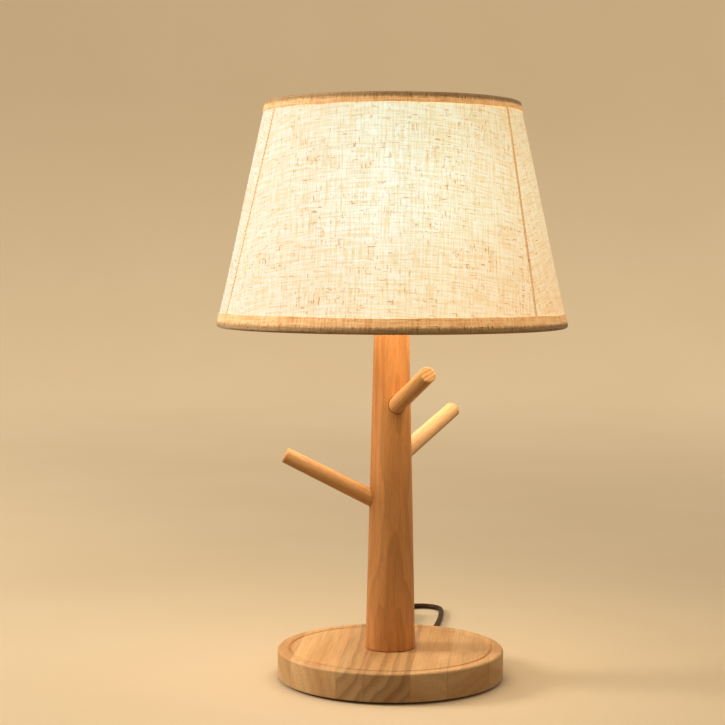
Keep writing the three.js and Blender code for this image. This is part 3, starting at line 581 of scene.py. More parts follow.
# %% Felt
FELT_RADIUS, FELT_HIGH, FELT_ROUND = 94.0, 1.5, 0.4
felt_look = Finish(
    "pressed_felt", roughness=0.95, specular_ior_level=0.1, sheen_weight=0.3, sheen_roughness=0.6,
)
felt_place = felt_look.place()
hairs = felt_look.noise(felt_place, 900, detail=4, distortion=1.5)
tufts = felt_look.noise(felt_place, 90, detail=3)
felt_mat = felt_look.times(tufts, 0.4, felt_look.times(hairs, 0.6))
felt_look.colour(felt_look.ramp(felt_mat, (0.3, paint(58, 42, 30)), (0.7, paint(92, 70, 52))))
felt_look.bump(hairs, 0.0002)
felt = turned("felt_disc", [
    (0, 0), (FELT_RADIUS - FELT_ROUND, 0),
    *rounding(FELT_RADIUS - FELT_ROUND, FELT_ROUND, FELT_ROUND, -90, 0, 3),
    (FELT_RADIUS, FELT_HIGH - 0.2), (FELT_RADIUS - 0.2, FELT_HIGH), (0, FELT_HIGH),
], sides=160)
dress(felt, felt_look, "stand", "felt", "base_felt")

# %% [markdown]
# ## Post and branches
# The post is one piece of wood, turned to a slow taper, with a small break at each end edge. The
# three branches are dowels glued into blind holes. Their grain runs along them, so each needs
# its own direction, and their cut tips show end grain.

# %% Post
POST_LOW, POST_HIGH, POST_FOOT, POST_TIP, FOOT_BREAK, TIP_BREAK = 26.1, 316.1, 21.5, 14.8, 0.8, 2
post_slope = (POST_FOOT - POST_TIP) / (POST_HIGH - POST_LOW)
post = turned("post_turned", [
    (PIPE_HOLE, POST_LOW), (POST_FOOT - 1.0, POST_LOW),
    *rounding(POST_FOOT - FOOT_BREAK, POST_LOW + FOOT_BREAK, FOOT_BREAK, -70, 0, 3),
    *[(POST_FOOT - post_slope * up, POST_LOW + up) for up in range(20, 280, 20)],
    *rounding(POST_TIP - TIP_BREAK, POST_HIGH - TIP_BREAK, TIP_BREAK, 0, 90, 5),
    (PIPE_HOLE, POST_HIGH), (PIPE_HOLE, POST_LOW),
])
post_look, post_colour = turned_wood(
    "post_wood", (0.02, 0.015, 1), tilt=1.1, shift=4.0, contrast=0.24, tone=(0.79, 0.59, 0.39, 1),
)
print("post tapers by", round(post_slope, 4))

# %% [markdown]
# Each branch starts at the foot of its blind hole and narrows a little toward its tip. Where it
# enters the post, a thin dark ring of painted shade shows round it: that ring belongs to the post's
# finish, as everything within a millimetre of the branch's side.

# %% Branches
PEG_ROOT, PEG_TIP, TIP_ROUND, SOCKET_DEPTH = 7.3, 6.8, 1.3, 7
# a ring of painted shade where each branch enters the post: its colour, how far it starts and ends beyond the
# branch's side, and its strength
ROOT_SHADE, ROOT_SHADE_IN, ROOT_SHADE_OUT, ROOT_SHADE_SHARE = paint(84, 46, 20), 0.1, 1.1, 0.75
BRANCHES = {
    # height, reach, turn and rise, and the tone of its wood, partly painted light: the back branch paler
    # and cooler where the bulb's light falls, the left and front ones deeper and warmer as painted shade
    "peg_left": (147.3, 82, 186, 27, (1.04, 0.95, 0.80, 1)),
    "peg_front": (231.4, 80, -71, 22.2, (1.08, 0.99, 0.84, 1)),
    "peg_back": (185.7, 80, 52, 24.5, (1.0, 1.02, 1.08, 1)),
}


def branch_profile(reach):
    length = SOCKET_DEPTH + reach
    return [
        (0, 0), (PEG_ROOT, 0), (PEG_ROOT, SOCKET_DEPTH),
        *[(PEG_ROOT + (PEG_TIP - PEG_ROOT) * s / 4, SOCKET_DEPTH + (reach - 3) * s / 4) for s in (1, 2, 3)],
        *rounding(PEG_TIP - TIP_ROUND, length - TIP_ROUND, TIP_ROUND, 0, 80, 5),
        (PEG_TIP - 2.4, length), (0, length),
    ]


def shade_round_root(body, start, way):
    """The post's colour with a ring of painted shade round a branch that starts there."""
    look = post_look
    from_start = look.vector("SUBTRACT", look.place(), start * MM)
    distance = look.vector("LENGTH", look.vector("CROSS_PRODUCT", from_start, way), out="Value")
    near = look.rest(look.step(distance, (PEG_ROOT + ROOT_SHADE_IN) * MM, (PEG_ROOT + ROOT_SHADE_OUT) * MM))
    line = look.times(near, look.math("GREATER_THAN", look.along(from_start, way), 0))
    return look.mix(look.times(line, ROOT_SHADE_SHARE), body, ROOT_SHADE)


for number, (node, (height, reach, turn, rise, tone)) in enumerate(BRANCHES.items()):
    rise = math.radians(rise)
    way = level_way(math.radians(turn)) * math.cos(rise) + Vector((0, 0, math.sin(rise)))
    radius_there = POST_FOOT - post_slope * (height - POST_LOW)
    surface = radius_there / (math.cos(rise) + post_slope * math.sin(rise))
    start = Vector((0, 0, height)) + way * (surface - SOCKET_DEPTH)
    end = start + way * (SOCKET_DEPTH + reach)
    branch = turned(node + "_dowel", branch_profile(reach), sides=64, lie=lying(start * MM, way))
    branch_look, _ = turned_wood(
        node + "_wood", way, tilt=0.4 + number, shift=9.0 + 5 * number, contrast=0.12, tone=tone,
        tip=(end.dot(way) - 0.4) * MM,
    )
    dress(branch, branch_look, "stand", "wood", node)
    post_colour = shade_round_root(post_colour, start, way)
    print(node, "reaches", [round(v) for v in end])
post_look.colour(post_colour)
dress(post, post_look, "stand", "wood", "post")

# %% [markdown]
# ## Linen
# The shade is cut as three flat panels, each wrapped a third of the way round the frame. On a
# cone the threads of a flat panel cannot stay upright: they lean more and more toward the seams.
# A picture wrapped round the cone would miss that, so each point carries its place in the flat
# panel, worked out by unrolling the cone, and the weave is drawn there.

# %% The cone, rolled and unrolled
SHADE_FOOT_HEIGHT, SHADE_HEIGHT = 304.0, 190.5
SHADE_FOOT_RADIUS, SHADE_TOP_RADIUS = 150.4, 108.6
SLANT = math.hypot(SHADE_HEIGHT, SHADE_FOOT_RADIUS - SHADE_TOP_RADIUS)
LEAN = (SHADE_FOOT_RADIUS - SHADE_TOP_RADIUS) / SLANT
RISE = SHADE_HEIGHT / SLANT
APEX = SHADE_FOOT_RADIUS / LEAN
SEAM_TURNS = [math.radians(t) for t in (-155, -35, 85)]
SEAM_LEAN = math.radians(3.5)


def wall(up, out, angle):
    """A point up the slope and out of the shade's face, in metres."""
    radius = SHADE_FOOT_RADIUS - LEAN * up + RISE * out
    height = SHADE_FOOT_HEIGHT + RISE * up + LEAN * out
    return (level_way(angle) * radius + Vector((0, 0, height))) * MM


def seam_turn(which, up):
    return SEAM_TURNS[which % 3] + 2 * math.pi * (which // 3) + SEAM_LEAN * (2 * up / SLANT - 1)


def in_panel(up, angle, middle):
    """Where that point lies in the flat panel, in metres."""
    from_apex = APEX - up
    turn = (angle - middle) * LEAN
    return from_apex * math.sin(turn) * MM, (APEX - from_apex * math.cos(turn)) * MM


print("flat panels are", round(math.degrees(2 * math.pi / 3 * LEAN), 1), "degrees wide")

# %% [markdown]
# The cloth is lined and stiff, so it has no folds, but it is not a perfect cone either: it is
# pulled flat between the hoops and stands a hair proud along the ribs. A little smooth
# waviness in the mesh gives its edge and its shine that life.

# %% The cloth's form
LINEN_FACE, LINEN_BACK, LINEN_EDGE = -0.75, -1.75, 2.3
LINEN_LOW, LINEN_HIGH = LINEN_EDGE, SLANT - LINEN_EDGE
PANEL_COLUMNS, CLOTH_ROWS, PANEL_SHIFT, RIM_HEIGHT = 64, 40, 0.4, 0.19
WAVE_COUNT, WAVE_LIMITS = 8, ((0, 6.28), (0.5, 2.5), (0.04, 0.12))
random.seed(7)
waves = [
    [random.choice((2, 3, 5, 7)), *[random.uniform(*limits) for limits in WAVE_LIMITS]]
    for _ in range(WAVE_COUNT)
]


def waviness(angle, up):
    up = up / SLANT
    swell = [size * math.sin(count * angle + phase + climb * up * 3) for count, phase, climb, size in waves]
    return math.sin(math.pi * up) * sum(swell)


def cloth_point(row, column):
    """How far up and round a crossing of the cloth's grid lies; columns run on past a panel."""
    up = LINEN_LOW + (LINEN_HIGH - LINEN_LOW) * row / CLOTH_ROWS
    panel, share = divmod(column, PANEL_COLUMNS)
    start, end = seam_turn(panel, up), seam_turn(panel + 1, up)
    return up, start + (end - start) * share / PANEL_COLUMNS


def flat_point(row, column, cell):
    """Where that crossing of a cell lies in the flat panels, side by side."""
    panel = cell // PANEL_COLUMNS
    up, angle = cloth_point(row, column)
    middle = (seam_turn(panel, SLANT / 2) + seam_turn(panel + 1, SLANT / 2)) / 2
    u, v = in_panel(up, angle, middle)
    return u + PANEL_SHIFT * panel, v


print("waves:", [round(size, 2) for *_, size in waves], "mm")

# %% [markdown]
# The cloth is a grid with a face and a back, joined at both edges. Each small face also keeps its
# place in the flat panel.

# %% The cloth
def cloth_faces(made, grid, flat, closed=True):
    """Faces between rows of points; flat gives each corner its place in the flat cloth."""
    layer = made.loops.layers.uv.verify()
    for row, (low, high) in enumerate(zip(grid, grid[1:])):
        for cell in range(len(low) if closed else len(low) - 1):
            after = (cell + 1) % len(low)
            face = made.faces.new((low[cell], low[after], high[after], high[cell]))
            corners = ((row, cell), (row, cell + 1), (row + 1, cell + 1), (row + 1, cell))
            for loop, corner in zip(face.loops, corners):
                loop[layer].uv = flat(*corner, cell)


def cone_cloth(name):
    made = bmesh.new()
    made.loops.layers.uv.new("cloth")
    columns = range(len(SEAM_TURNS) * PANEL_COLUMNS)
    spots = [[cloth_point(row, column) for column in columns] for row in range(CLOTH_ROWS + 1)]
    sheets = [
        [[made.verts.new(wall(up, out + waviness(angle, up), angle)) for up, angle in row] for row in spots]
        for out in (LINEN_FACE, LINEN_BACK)
    ]
    for sheet in sheets:
        cloth_faces(made, sheet, flat_point)
    for row, rim in ((0, (0, 0)), (CLOTH_ROWS, (0, RIM_HEIGHT))):
        cloth_faces(made, [sheet[row] for sheet in sheets], lambda *_: rim)
    return mesh_piece(name, made)


linen = cone_cloth("linen_cover")

# %% [markdown]
# Slub linen is woven from uneven yarn. Three things make it: a close grid of fine threads, here
# and there a thicker stretch of yarn, and brown flecks of straw spun into it, along the threads.
# The tapes and seams are the same cloth in darker tones, painted shade where it lies doubled or over
# a wire, so one function makes them all.

# %% The linen's weave
THREAD_DENSITY = 820
WOVEN = {"roughness": 0.9, "specular_ior_level": 0.15, "sheen_weight": 0.2, "sheen_roughness": 0.5}


def woven(name, glow, thread_tone, fleck_tone, body_tone, slub_share=0.5, fleck_share=0.85):
    """The finish, its colour, the place in the flat cloth and the height of the threads."""
    finish = Finish(name, emission_strength=glow, **WOVEN)
    place = finish.node("UVMap", {}, uv_map="cloth").outputs["UV"]
    moved = finish.vector("ADD", place, (3.1, 1.7, 0))

    def yarn(where, wide, long, detail, low=None, high=None):
        """A noise drawn out along the thread; low and high cut out its thick places."""
        made = finish.noise(finish.stretch(where, wide, long, 1), detail=detail)
        return made if low is None else finish.step(made, low, high)

    upright, level = yarn(place, THREAD_DENSITY, 40, 2), yarn(moved, 40, THREAD_DENSITY, 2)
    threads = finish.math("ADD", finish.times(upright, 0.5), finish.times(level, 0.5))
    upright, level = yarn(moved, 430, 36, 1, 0.56, 0.70), yarn(place, 30, 400, 1, 0.56, 0.70)
    slubs = finish.math("MAXIMUM", upright, level)
    upright, level = yarn(place, 640, 130, 2, 0.615, 0.69), yarn(moved, 120, 600, 2, 0.62, 0.69)
    flecks = finish.math("MAXIMUM", upright, level)
    patches = finish.step(finish.noise(place, 26, detail=2), 0.35, 0.65)
    cloth = finish.ramp(threads, (0.38, thread_tone), (0.55, body_tone))
    cloth = finish.mix(finish.times(slubs, slub_share), cloth, thread_tone)
    strength = finish.times(flecks, finish.times(patches, 0.6 * fleck_share, 0.4 * fleck_share))
    cloth = finish.mix(strength, cloth, fleck_tone)
    finish.colour(cloth)
    return finish, cloth, place, threads


linen_look, linen_colour, _, linen_threads = woven(
    "slub_linen", 1.0, paint(243, 220, 178), paint(208, 142, 74), paint(252, 250, 238), slub_share=0.6,
)
linen_look.bump(linen_threads, 0.00015)
print("linen: one thread every", round(1 / MM / THREAD_DENSITY, 1), "mm")

# %% [markdown]
# The lamp is lit, so the cloth also glows: that emission is painted light, standing for the bulb's
# light through the cloth. It is whitest at the height of the bulb and toward the front and back,
# warmer toward the foot and the right, and weaker on the left, which the studio light brightens
# already. It is worked out from the place on the cone, so it turns with the shade.

# %% The linen's glow
SHADE_LOW_EDGE, SHADE_HIGH_EDGE = 0.304, 0.495
GLOW_ROUND = [
    # share of the way from the left to the right, light
    (0.0, (0.11, 0.10, 0.07)), (0.25, (0.385, 0.405, 0.355)), (0.46, (0.68, 0.77, 0.76)),
    (0.66, (0.71, 0.745, 0.65)), (0.96, (0.65, 0.54, 0.35)),
]
GLOW_UP = [
    # share of the way up, what is left of the light
    (0.0, (1.0, 0.78, 0.60)), (0.45, (1.0, 0.98, 0.96)), (0.75, (1.0, 1.0, 1.0)), (1.0, (0.88, 0.86, 0.78)),
]
linen_place = linen_look.place()
climb = linen_look.step(linen_look.along(linen_place, (0, 0, 1)), SHADE_LOW_EDGE, SHADE_HIGH_EDGE)
facing = linen_look.vector("NORMALIZE", linen_look.stretch(linen_place, 1, 1, 0))
side = linen_look.times(linen_look.along(facing, (1, 0, 0)), 0.5, 0.5)
bulb_glow = linen_look.tint(linen_look.ramp(side, *GLOW_ROUND), linen_look.ramp(climb, *GLOW_UP))
linen_look.glow(linen_look.tint(linen_colour, bulb_glow))
dress(linen, linen_look, "shade", "linen", "shade_linen")

# %% [markdown]
# ## Folded tapes
# A strip of the same linen is folded over each rim, round the wire hoop inside. It is doubled
# there, so it passes less light: its tan tones are painted shade, its glow is weaker painted light,
# and it is painted brown where the wire itself blocks the light. The profile of the fold is spun
# like the turned wood, with a slight unevenness by hand.

# %% Tapes
FOOT_TAPE_WIDTH, TOP_TAPE_WIDTH, TAPE_FLAT_LENGTH = 12.2, 9.2, 0.85
TAPE_SIDES, OUTER_POINTS, EDGE_POINTS = 240, 7, 3


def tape_profile(width):
    """The fold in (up, out): outer leg, round the wire, inner leg and back inside it."""
    return [
        (width, -0.40), (width + 0.1, -0.12), (width - 0.4, 0.0), (width * 0.6, 0.05), (4.4, 0.10),
        (3.0, 0.12), (1.6, -0.12), (0.6, -0.75), (0.08, -1.9), (0.0, -3.3), (0.1, -4.7), (0.7, -5.9),
        (1.8, -6.55), (3.2, -6.75), (5.0, -6.65), (6.9, -6.6), (7.0, -6.15), (5.0, -6.15),
        (3.2, -6.2), (2.0, -6.0), (1.1, -5.3), (0.62, -4.4), (0.55, -3.3), (0.62, -2.2), (1.1, -1.1),
        (2.0, -0.62), (3.2, -0.45), (width * 0.6, -0.5), (width - 0.3, -0.5),
    ]


def by_hand(angle):
    """How far the outer leg stands out there, and how far its edge strays up."""
    out = 0.10 * math.sin(9 * angle + 1.3) + 0.07 * math.sin(23 * angle) + 0.05 * math.sin(41 * angle + 2)
    return out, out + 0.25 * math.sin(5 * angle + 0.4) + 0.12 * math.sin(17 * angle)


def folded_tape(name, width, from_top):
    made = bmesh.new()
    made.loops.layers.uv.new("cloth")
    profile = tape_profile(width)
    rows = []
    for number, (up, out) in enumerate(profile):
        rows.append([])
        for angle in (2 * math.pi * side / TAPE_SIDES for side in range(TAPE_SIDES)):
            uneven, stray = by_hand(angle)
            height = up + (stray if number < EDGE_POINTS else 0)
            out_here = out + (uneven if number < OUTER_POINTS else 0)
            rows[-1].append(made.verts.new(wall(SLANT - height if from_top else height, out_here, angle)))

    def flat(row, side, _):
        return side / TAPE_SIDES * TAPE_FLAT_LENGTH, profile[row % len(profile)][0] * MM

    cloth_faces(made, [*rows, rows[0]], flat)
    return mesh_piece(name, made)


foot_tape = folded_tape("foot_tape", FOOT_TAPE_WIDTH, False)
top_tape = folded_tape("top_tape", TOP_TAPE_WIDTH, True)
print("tapes:", len(tape_profile(FOOT_TAPE_WIDTH)), "points round the fold")

# %% [markdown]
# The light that passes the tape ends in a ragged line where the wire stands behind it. The line
# could be a second strip, but as a step in the glow it keeps its place in the fold. The same step
# darkens the base colour there as painted shade of the wire.

# %% The tapes' finish
WIRE_FROM, WIRE_TO, RAGGED = 0.0032, 0.0064, 0.0034
tape_look, tape_colour, tape_place, tape_threads = woven(
    "folded_tape", 0.54, paint(220, 170, 118), paint(150, 98, 54), paint(246, 210, 162),
    slub_share=0.6, fleck_share=0.8,
)
rim = tape_look.node("SeparateXYZ", {0: tape_place}).outputs["Y"]
frays = tape_look.noise(tape_look.stretch(tape_place, 420, 260, 1), detail=2)
ragged = tape_look.times(frays, RAGGED, tape_look.math("SUBTRACT", rim, RAGGED / 2))
past_wire = tape_look.step(ragged, WIRE_FROM, WIRE_TO)
passes = tape_look.ramp(past_wire, (0.0, (0.02, 0.012, 0.006)), (1.0, (1.0, 0.72, 0.40)))
# painted shade: the base colour is darker where the wire stands behind the tape
painted_wire_shade = tape_look.ramp(past_wire, (0.0, (0.74, 0.69, 0.58)), (1.0, (1, 1, 1)))
tape_look.glow(tape_look.tint(tape_colour, passes))
tape_look.colour(tape_look.tint(tape_colour, painted_wire_shade))
nap = tape_look.noise(tape_look.stretch(tape_place, 700, 700, 1), detail=2)
tape_look.bump(tape_look.math("ADD", tape_threads, nap), 0.0004)
dress(foot_tape, tape_look, "shade", "trim", "shade_bottom_trim")
dress(top_tape, tape_look, "shade", "trim", "shade_top_trim")

# %% [markdown]
# ## Seams
# Where two panels meet, one edge is turned under the other and run down with small stitches over
# the rib. Painting a dark line would be flat from the side, so each seam is a narrow raised
# strip with its stitches as short bars lying on it.

# %% Seams
SEAM_WIDTH, SEAM_START, SEAM_RUN, SEAM_ROWS = 3.0, 9.0, SLANT - 16.5, 60
SEAM_LIFT, SEAM_UV_SHIFT = 0.05, 0.3
SEAM_SECTION = [(-0.5, -0.05), (-0.44, 0.16), (-0.2, 0.34), (0.15, 0.38), (0.42, 0.30), (0.5, -0.05)]


def seam_strip(name, which):
    made = bmesh.new()
    made.loops.layers.uv.new("cloth")
    ups = [SEAM_START + SEAM_RUN * row / SEAM_ROWS for row in range(SEAM_ROWS + 1)]
    grid = []
    for up in ups:
        middle = seam_turn(which, up)
        face = LINEN_FACE + waviness(middle, up) + SEAM_LIFT
        reach = SEAM_WIDTH / (SHADE_FOOT_RADIUS - LEAN * up)
        row = [wall(up, face + out, middle + share * reach) for share, out in SEAM_SECTION]
        grid.append([made.verts.new(place) for place in row])

    def flat(row, column, _):
        return SEAM_SECTION[column][0] * SEAM_WIDTH * MM, ups[row] * MM + which * SEAM_UV_SHIFT

    cloth_faces(made, grid, flat, closed=False)
    for end in (grid[0], grid[-1]):
        made.faces.new(end)
    for low, high in zip(grid, grid[1:]):
        made.faces.new([low[0], high[0], high[-1], low[-1]])
    return mesh_piece(name, made)


# The seam's tan tones are painted shade and its weaker, warmer glow is painted light: the doubled cloth and
# the rib behind it pass less of the bulb's light.
seam_look, seam_colour, _, seam_threads = woven(
    "seam_linen", 0.50, paint(232, 192, 142), paint(182, 122, 70), paint(246, 218, 178),
)
seam_look.glow(seam_look.tint(seam_colour, (1.0, 0.70, 0.40, 1)))
seam_look.bump(seam_threads, 0.0003)
print("seams are", SEAM_WIDTH, "mm wide")

# %% [markdown]
# The stitches are short bars of thread, a little thicker in their middle, and run just beside the
# middle of the seam. A dashed line in the finish would have no thickness, so each is a stretched
# ball that lies along the seam.

# %% Stitches
STITCH_PITCH, STITCH_LENGTH, STITCH_RADIUS = 3.0, 2.4, 0.42
STITCH_START, STITCH_END, STITCH_ASIDE = 12.0, 11, 0.55
# The thread's brown is its own; its faint warm glow is painted light from the bulb behind it.
stitch_look = cloudy(
    "brown_thread", (2200, 2), (0.35, paint(200, 142, 90)), (0.65, paint(230, 182, 130)),
    relief=(0.0001, 2200, 2), roughness=0.7, specular_ior_level=0.3,
    emission_strength=0.3, emission_color=(0.9, 0.58, 0.28, 1),
)


def stitches(name, which):
    made = bmesh.new()
    up = STITCH_START
    while up < SLANT - STITCH_END:
        turns = [seam_turn(which, u) + STITCH_ASIDE / SHADE_FOOT_RADIUS for u in (up, up + STITCH_LENGTH)]
        out = LINEN_FACE + waviness(turns[0], up) + STITCH_RADIUS
        low, high = wall(up, out, turns[0]), wall(up + STITCH_LENGTH, out, turns[1])
        size = Matrix.Diagonal((STITCH_RADIUS * MM, STITCH_RADIUS * MM, STITCH_LENGTH * MM / 2, 1))
        lie = lying((low + high) / 2, (high - low).normalized()) @ size
        bmesh.ops.create_uvsphere(made, u_segments=8, v_segments=6, radius=1, matrix=lie)
        up += STITCH_PITCH
    return mesh_piece(name, made)


strips, threads = [], []
for which in range(len(SEAM_TURNS)):
    strip, thread = seam_strip(f"seam_{which + 1}", which), stitches(f"seam_stitches_{which + 1}", which)
    strips.append(dress(strip, seam_look, "shade", "linen").name)
    threads.append(dress(thread, stitch_look, "shade", "linen").name)

# %% [markdown]
# ## Wire frame
# The frame inside the shade is steel wire with a white plastic coat. Its ribs, arms and ring are
# right as they are, so they only get the finish: white, smooth, and a little dirty. The two hoops
# are turned again with more sides, because their long curve shows every flat.

# %% Coated wire
HOOP_RADIUS, HOOP_IN, HOOP_UP = 1.7, -4.0, 2.7
wire_look = cloudy(
    "coated_wire", (60, 3), (0.30, paint(205, 196, 178)), (0.62, paint(238, 234, 224)),
    gloss=(0.30, 0.48, 60, 3), relief=(0.00006, 420, 1),
    roughness=0.38, specular_ior_level=0.5, coat_weight=0.3, coat_roughness=0.2,
)
for end, side, up in (("foot", "bottom", HOOP_UP), ("top", "top", SLANT - HOOP_UP)):
    middle = wall(up, HOOP_IN, 0) / MM
    section = rounding(middle.x, middle.z, HOOP_RADIUS, 0, 360, 16)
    hoop = turned(f"{end}_hoop", [*section[:-1], section[0]], sides=200)
    dress(hoop, wire_look, "shade", "frame_wire", f"shade_{side}_hoop")
ribs_and_arms = [f"shade_{kind}_{n}" for kind in ("rib", "arm") for n in (1, 2, 3)]
dress_nodes(wire_look, *ribs_and_arms, "fitter_ring")

# %% [markdown]
# ## Lamp holder
# The holder is two shells of thermoset plastic, screwed on the pipe. Its wall is thick and its
# gloss is soft. The threads carry the ring that clamps the shade. Each shell is turned in the
# frame already, so it gets the plastic: off-white, faintly mottled, with fine scratches.

# %% Holder
holder_look = cloudy(
    "holder_plastic", (110, 4), (0.3, paint(214, 206, 188)), (0.65, paint(240, 235, 222)),
    gloss=(0.22, 0.42, 300, 3), relief=(0.00004, 1500, 2), roughness=0.3, specular_ior_level=0.5,
)
dress_nodes(holder_look, "holder_cup", "holder_shell", "holder_insulator", "clamp_ring")

# %% [markdown]
# Pipe, nuts and contacts are cut on a lathe too, from steel and brass. What tells metal from
# plastic, apart from its shine, is the fine marks of the cutter that run round it.

# %% Metals
def metal(name, low, high, smooth, rough):
    finish = Finish(name, metallic=1.0, roughness=rough)
    place = finish.place()
    height = finish.along(place, (0, 0, 1))
    marks = finish.noise(finish.point(0.0, 0.0, finish.times(height, 5200)), detail=2)
    stains = finish.times(finish.noise(place, 70, detail=3), 0.7)
    finish.colour(finish.ramp(finish.times(marks, 0.3, stains), (0.3, low), (0.7, high)))
    finish.roughness(marks, smooth, rough)
    finish.bump(marks, 0.00003)
    return finish


steel_look = metal("zinc_steel", paint(168, 170, 172), paint(212, 214, 216), 0.28, 0.45)
brass_look = metal("brass", paint(176, 134, 66), paint(218, 182, 106), 0.22, 0.4)
cap_metal_look = metal("bulb_cap_metal", paint(178, 180, 184), paint(216, 218, 220), 0.2, 0.38)
dress_nodes(steel_look, "threaded_pipe", "base_washer", "base_nut", "holder_nut")
dress_nodes(brass_look, "cap_washer", "screw_shell", "centre_contact", "plug_blade_left", "plug_blade_right")
dress_nodes(cap_metal_look, "bulb_cap")

# %% [markdown]
# ## Bulb
# The bulb is frosted glass, lit from within. Frosted glass that is lit looks like an even warm
# light, brighter in its middle than at its neck. Light cast by so
# small a thing would be noisy, so the glow is emission and a small lamp stands inside it.

# %% Bulb
BULB_FOOT, BULB_NECK, BULB_RADIUS, BULB_MIDDLE = 376.5, 12.6, 30.0, 432.5
GLOW_FROM, GLOW_TO = 0.384, 0.43
globe = turned("frosted_globe", [
    (0, BULB_FOOT), (BULB_NECK, BULB_FOOT), (BULB_NECK, BULB_FOOT + 3),
    (BULB_NECK + 0.9, BULB_FOOT + 12), (BULB_NECK + 3.2, BULB_FOOT + 22),
    *rounding(0, BULB_MIDDLE, BULB_RADIUS, -48, 88, 36), (0, BULB_MIDDLE + BULB_RADIUS),
], sides=96)
globe_look = cloudy(
    "frosted_glass", (260, 3), (0.3, paint(244, 238, 226)), (0.7, paint(252, 249, 242)),
    roughness=0.45, specular_ior_level=0.5, emission_strength=2.4,
)
globe_climb = globe_look.node("SeparateXYZ", {0: globe_look.place()}).outputs["Z"]
shining = globe_look.step(globe_climb, GLOW_FROM, GLOW_TO)
globe_look.glow(globe_look.ramp(shining, (0.0, (0.55, 0.32, 0.14)), (1.0, (1.0, 0.80, 0.50))))
dress(globe, globe_look, "stand", "bulb_glass", "bulb_globe")
globe.visible_shadow = False

# %% [markdown]
# ## Rubber
# The lead is sheathed in dark brown plastic. New cable is smooth, with a soft gloss; it shows
# only a very fine ripple from the press and some dust. The relief, the plug and the switch are
# pressed from the same stuff, with a little more grain where hands hold them.

# %% Lead plastics
def rubber(name, dark, light, smooth, rough, ripple):
    return cloudy(
        name, (140, 4), (0.35, dark), (0.72, light), gloss=(smooth, rough, 420, 2),
        relief=(ripple, 1600, 2), roughness=rough, specular_ior_level=0.22,
    )


sheath_look = rubber("lead_sheath", paint(50, 26, 6), paint(70, 40, 12), 0.38, 0.56, 0.00004)
pressed_look = rubber("pressed_plastic", paint(46, 27, 12), paint(66, 43, 24), 0.36, 0.56, 0.00008)
rocker_look = rubber("rocker_plastic", paint(26, 17, 10), paint(40, 28, 19), 0.18, 0.34, 0.00003)
dress_nodes(sheath_look, "inner_lead")
dress(lead_to_switch, sheath_look, "stand", "lead", "cord_to_switch")
dress(lead_to_plug, sheath_look, "stand", "lead", "cord_to_coil", "cord_coil", "cord_to_plug")

# %% [markdown]
# A lead breaks where it leaves a hard edge, so a soft sleeve with grooves takes the bend there.
# The grooves let the sleeve flex: each is a rounded dip in the turned profile.

# %% Relief
RELIEF_PLACE = level_way(EXIT_TURN) * 97.8 + Vector((0, 0, 5.8))
RELIEF_LENGTH, RELIEF_BANDS, RELIEF_STEPS = 22.0, 9, 36
RELIEF_ROOT, RELIEF_END, BAND_DEPTH, BANDS_FROM, BANDS_TO = 4.3, 3.1, 0.5, 0.09, 0.95
relief_profile = [(0, -5), (3.6, -5), (3.6, 0), (4.1, 0)]
for step in range(1, RELIEF_STEPS):
    share = step / RELIEF_STEPS
    band = max(0, math.sin(math.pi * (share * RELIEF_BANDS - 0.9))) ** 0.7
    dip = BAND_DEPTH * band if BANDS_FROM < share < BANDS_TO else 0
    relief_profile.append((RELIEF_ROOT + (RELIEF_END - RELIEF_ROOT) * share - dip, share * RELIEF_LENGTH))
relief_profile += [(2.9, RELIEF_LENGTH - 0.1), (2.6, RELIEF_LENGTH), (0, RELIEF_LENGTH)]
relief_lie = lying(RELIEF_PLACE * MM, level_way(EXIT_TURN))
relief = turned("lead_relief", relief_profile, sides=48, lie=relief_lie)
dress(relief, pressed_look, "stand", "lead", "cord_relief")

# %% [markdown]
# ## In-line switch
# The switch is a flat case in two halves with a rocker in a window. Its outline is a slim barrel.
# Each half is a stack of the same outline, drawn in a little near its edges so that the light
# catches a soft round instead of a knife edge.

# %% The switch's outline
SWITCH_PLACE, SWITCH_TURN = Vector((0.4, 232.0, 0)), math.radians(75)
SWITCH_LENGTH, SWITCH_WIDTH, SWITCH_END_WIDTH = 56.0, 24.0, 11.0
SWITCH_TAPER, SWITCH_CORNER, SWITCH_SPLIT = 15.0, 2.0, 8.0
switch_lie = Matrix.Translation(SWITCH_PLACE * MM) @ Matrix.Rotation(SWITCH_TURN, 4, "Z")


def switch_outline(steps=10):
    """Straight flanks, bulging tapers and narrow ends."""
    end, side, tip = SWITCH_LENGTH / 2, SWITCH_WIDTH / 2, SWITCH_END_WIDTH / 2
    flank = end - SWITCH_TAPER
    quarter = [(flank * s / 4, side) for s in range(4)]
    a, b, c = (flank, side), ((end + flank) / 2, side), (end, tip + SWITCH_CORNER * 0.3)
    for t in (s / steps for s in range(steps)):
        quarter.append(tuple((1 - t) ** 2 * p + 2 * t * (1 - t) * q + t * t * r for p, q, r in zip(a, b, c)))
    quarter += rounding(end - SWITCH_CORNER, tip - SWITCH_CORNER, SWITCH_CORNER, math.degrees(1.2), 0, 3)
    right = quarter + [(x, -y) for x, y in reversed(quarter)]
    left = [(-x, -y) for x, y in right[1:-1]]
    return right + left


print("switch: outline of", len(switch_outline()), "points")

# %% The switch's case
WINDOW_LOW, WINDOW_HIGH = (-9.9, -5.5, 7), (9.9, 5.5, 17)


def stacked(name, outline, levels, lie):
    """A closed solid from one outline, drawn in by an inset at each level."""
    half_long, half_wide = max(x for x, _ in outline), max(y for _, y in outline)
    rows = []
    for height, inset in levels:
        long, wide = 1 - inset / half_long, 1 - inset / half_wide
        rows.append([lie @ (Vector((x * long, y * wide, height)) * MM) for x, y in outline])
    return skinned(name, rows, caps=True)


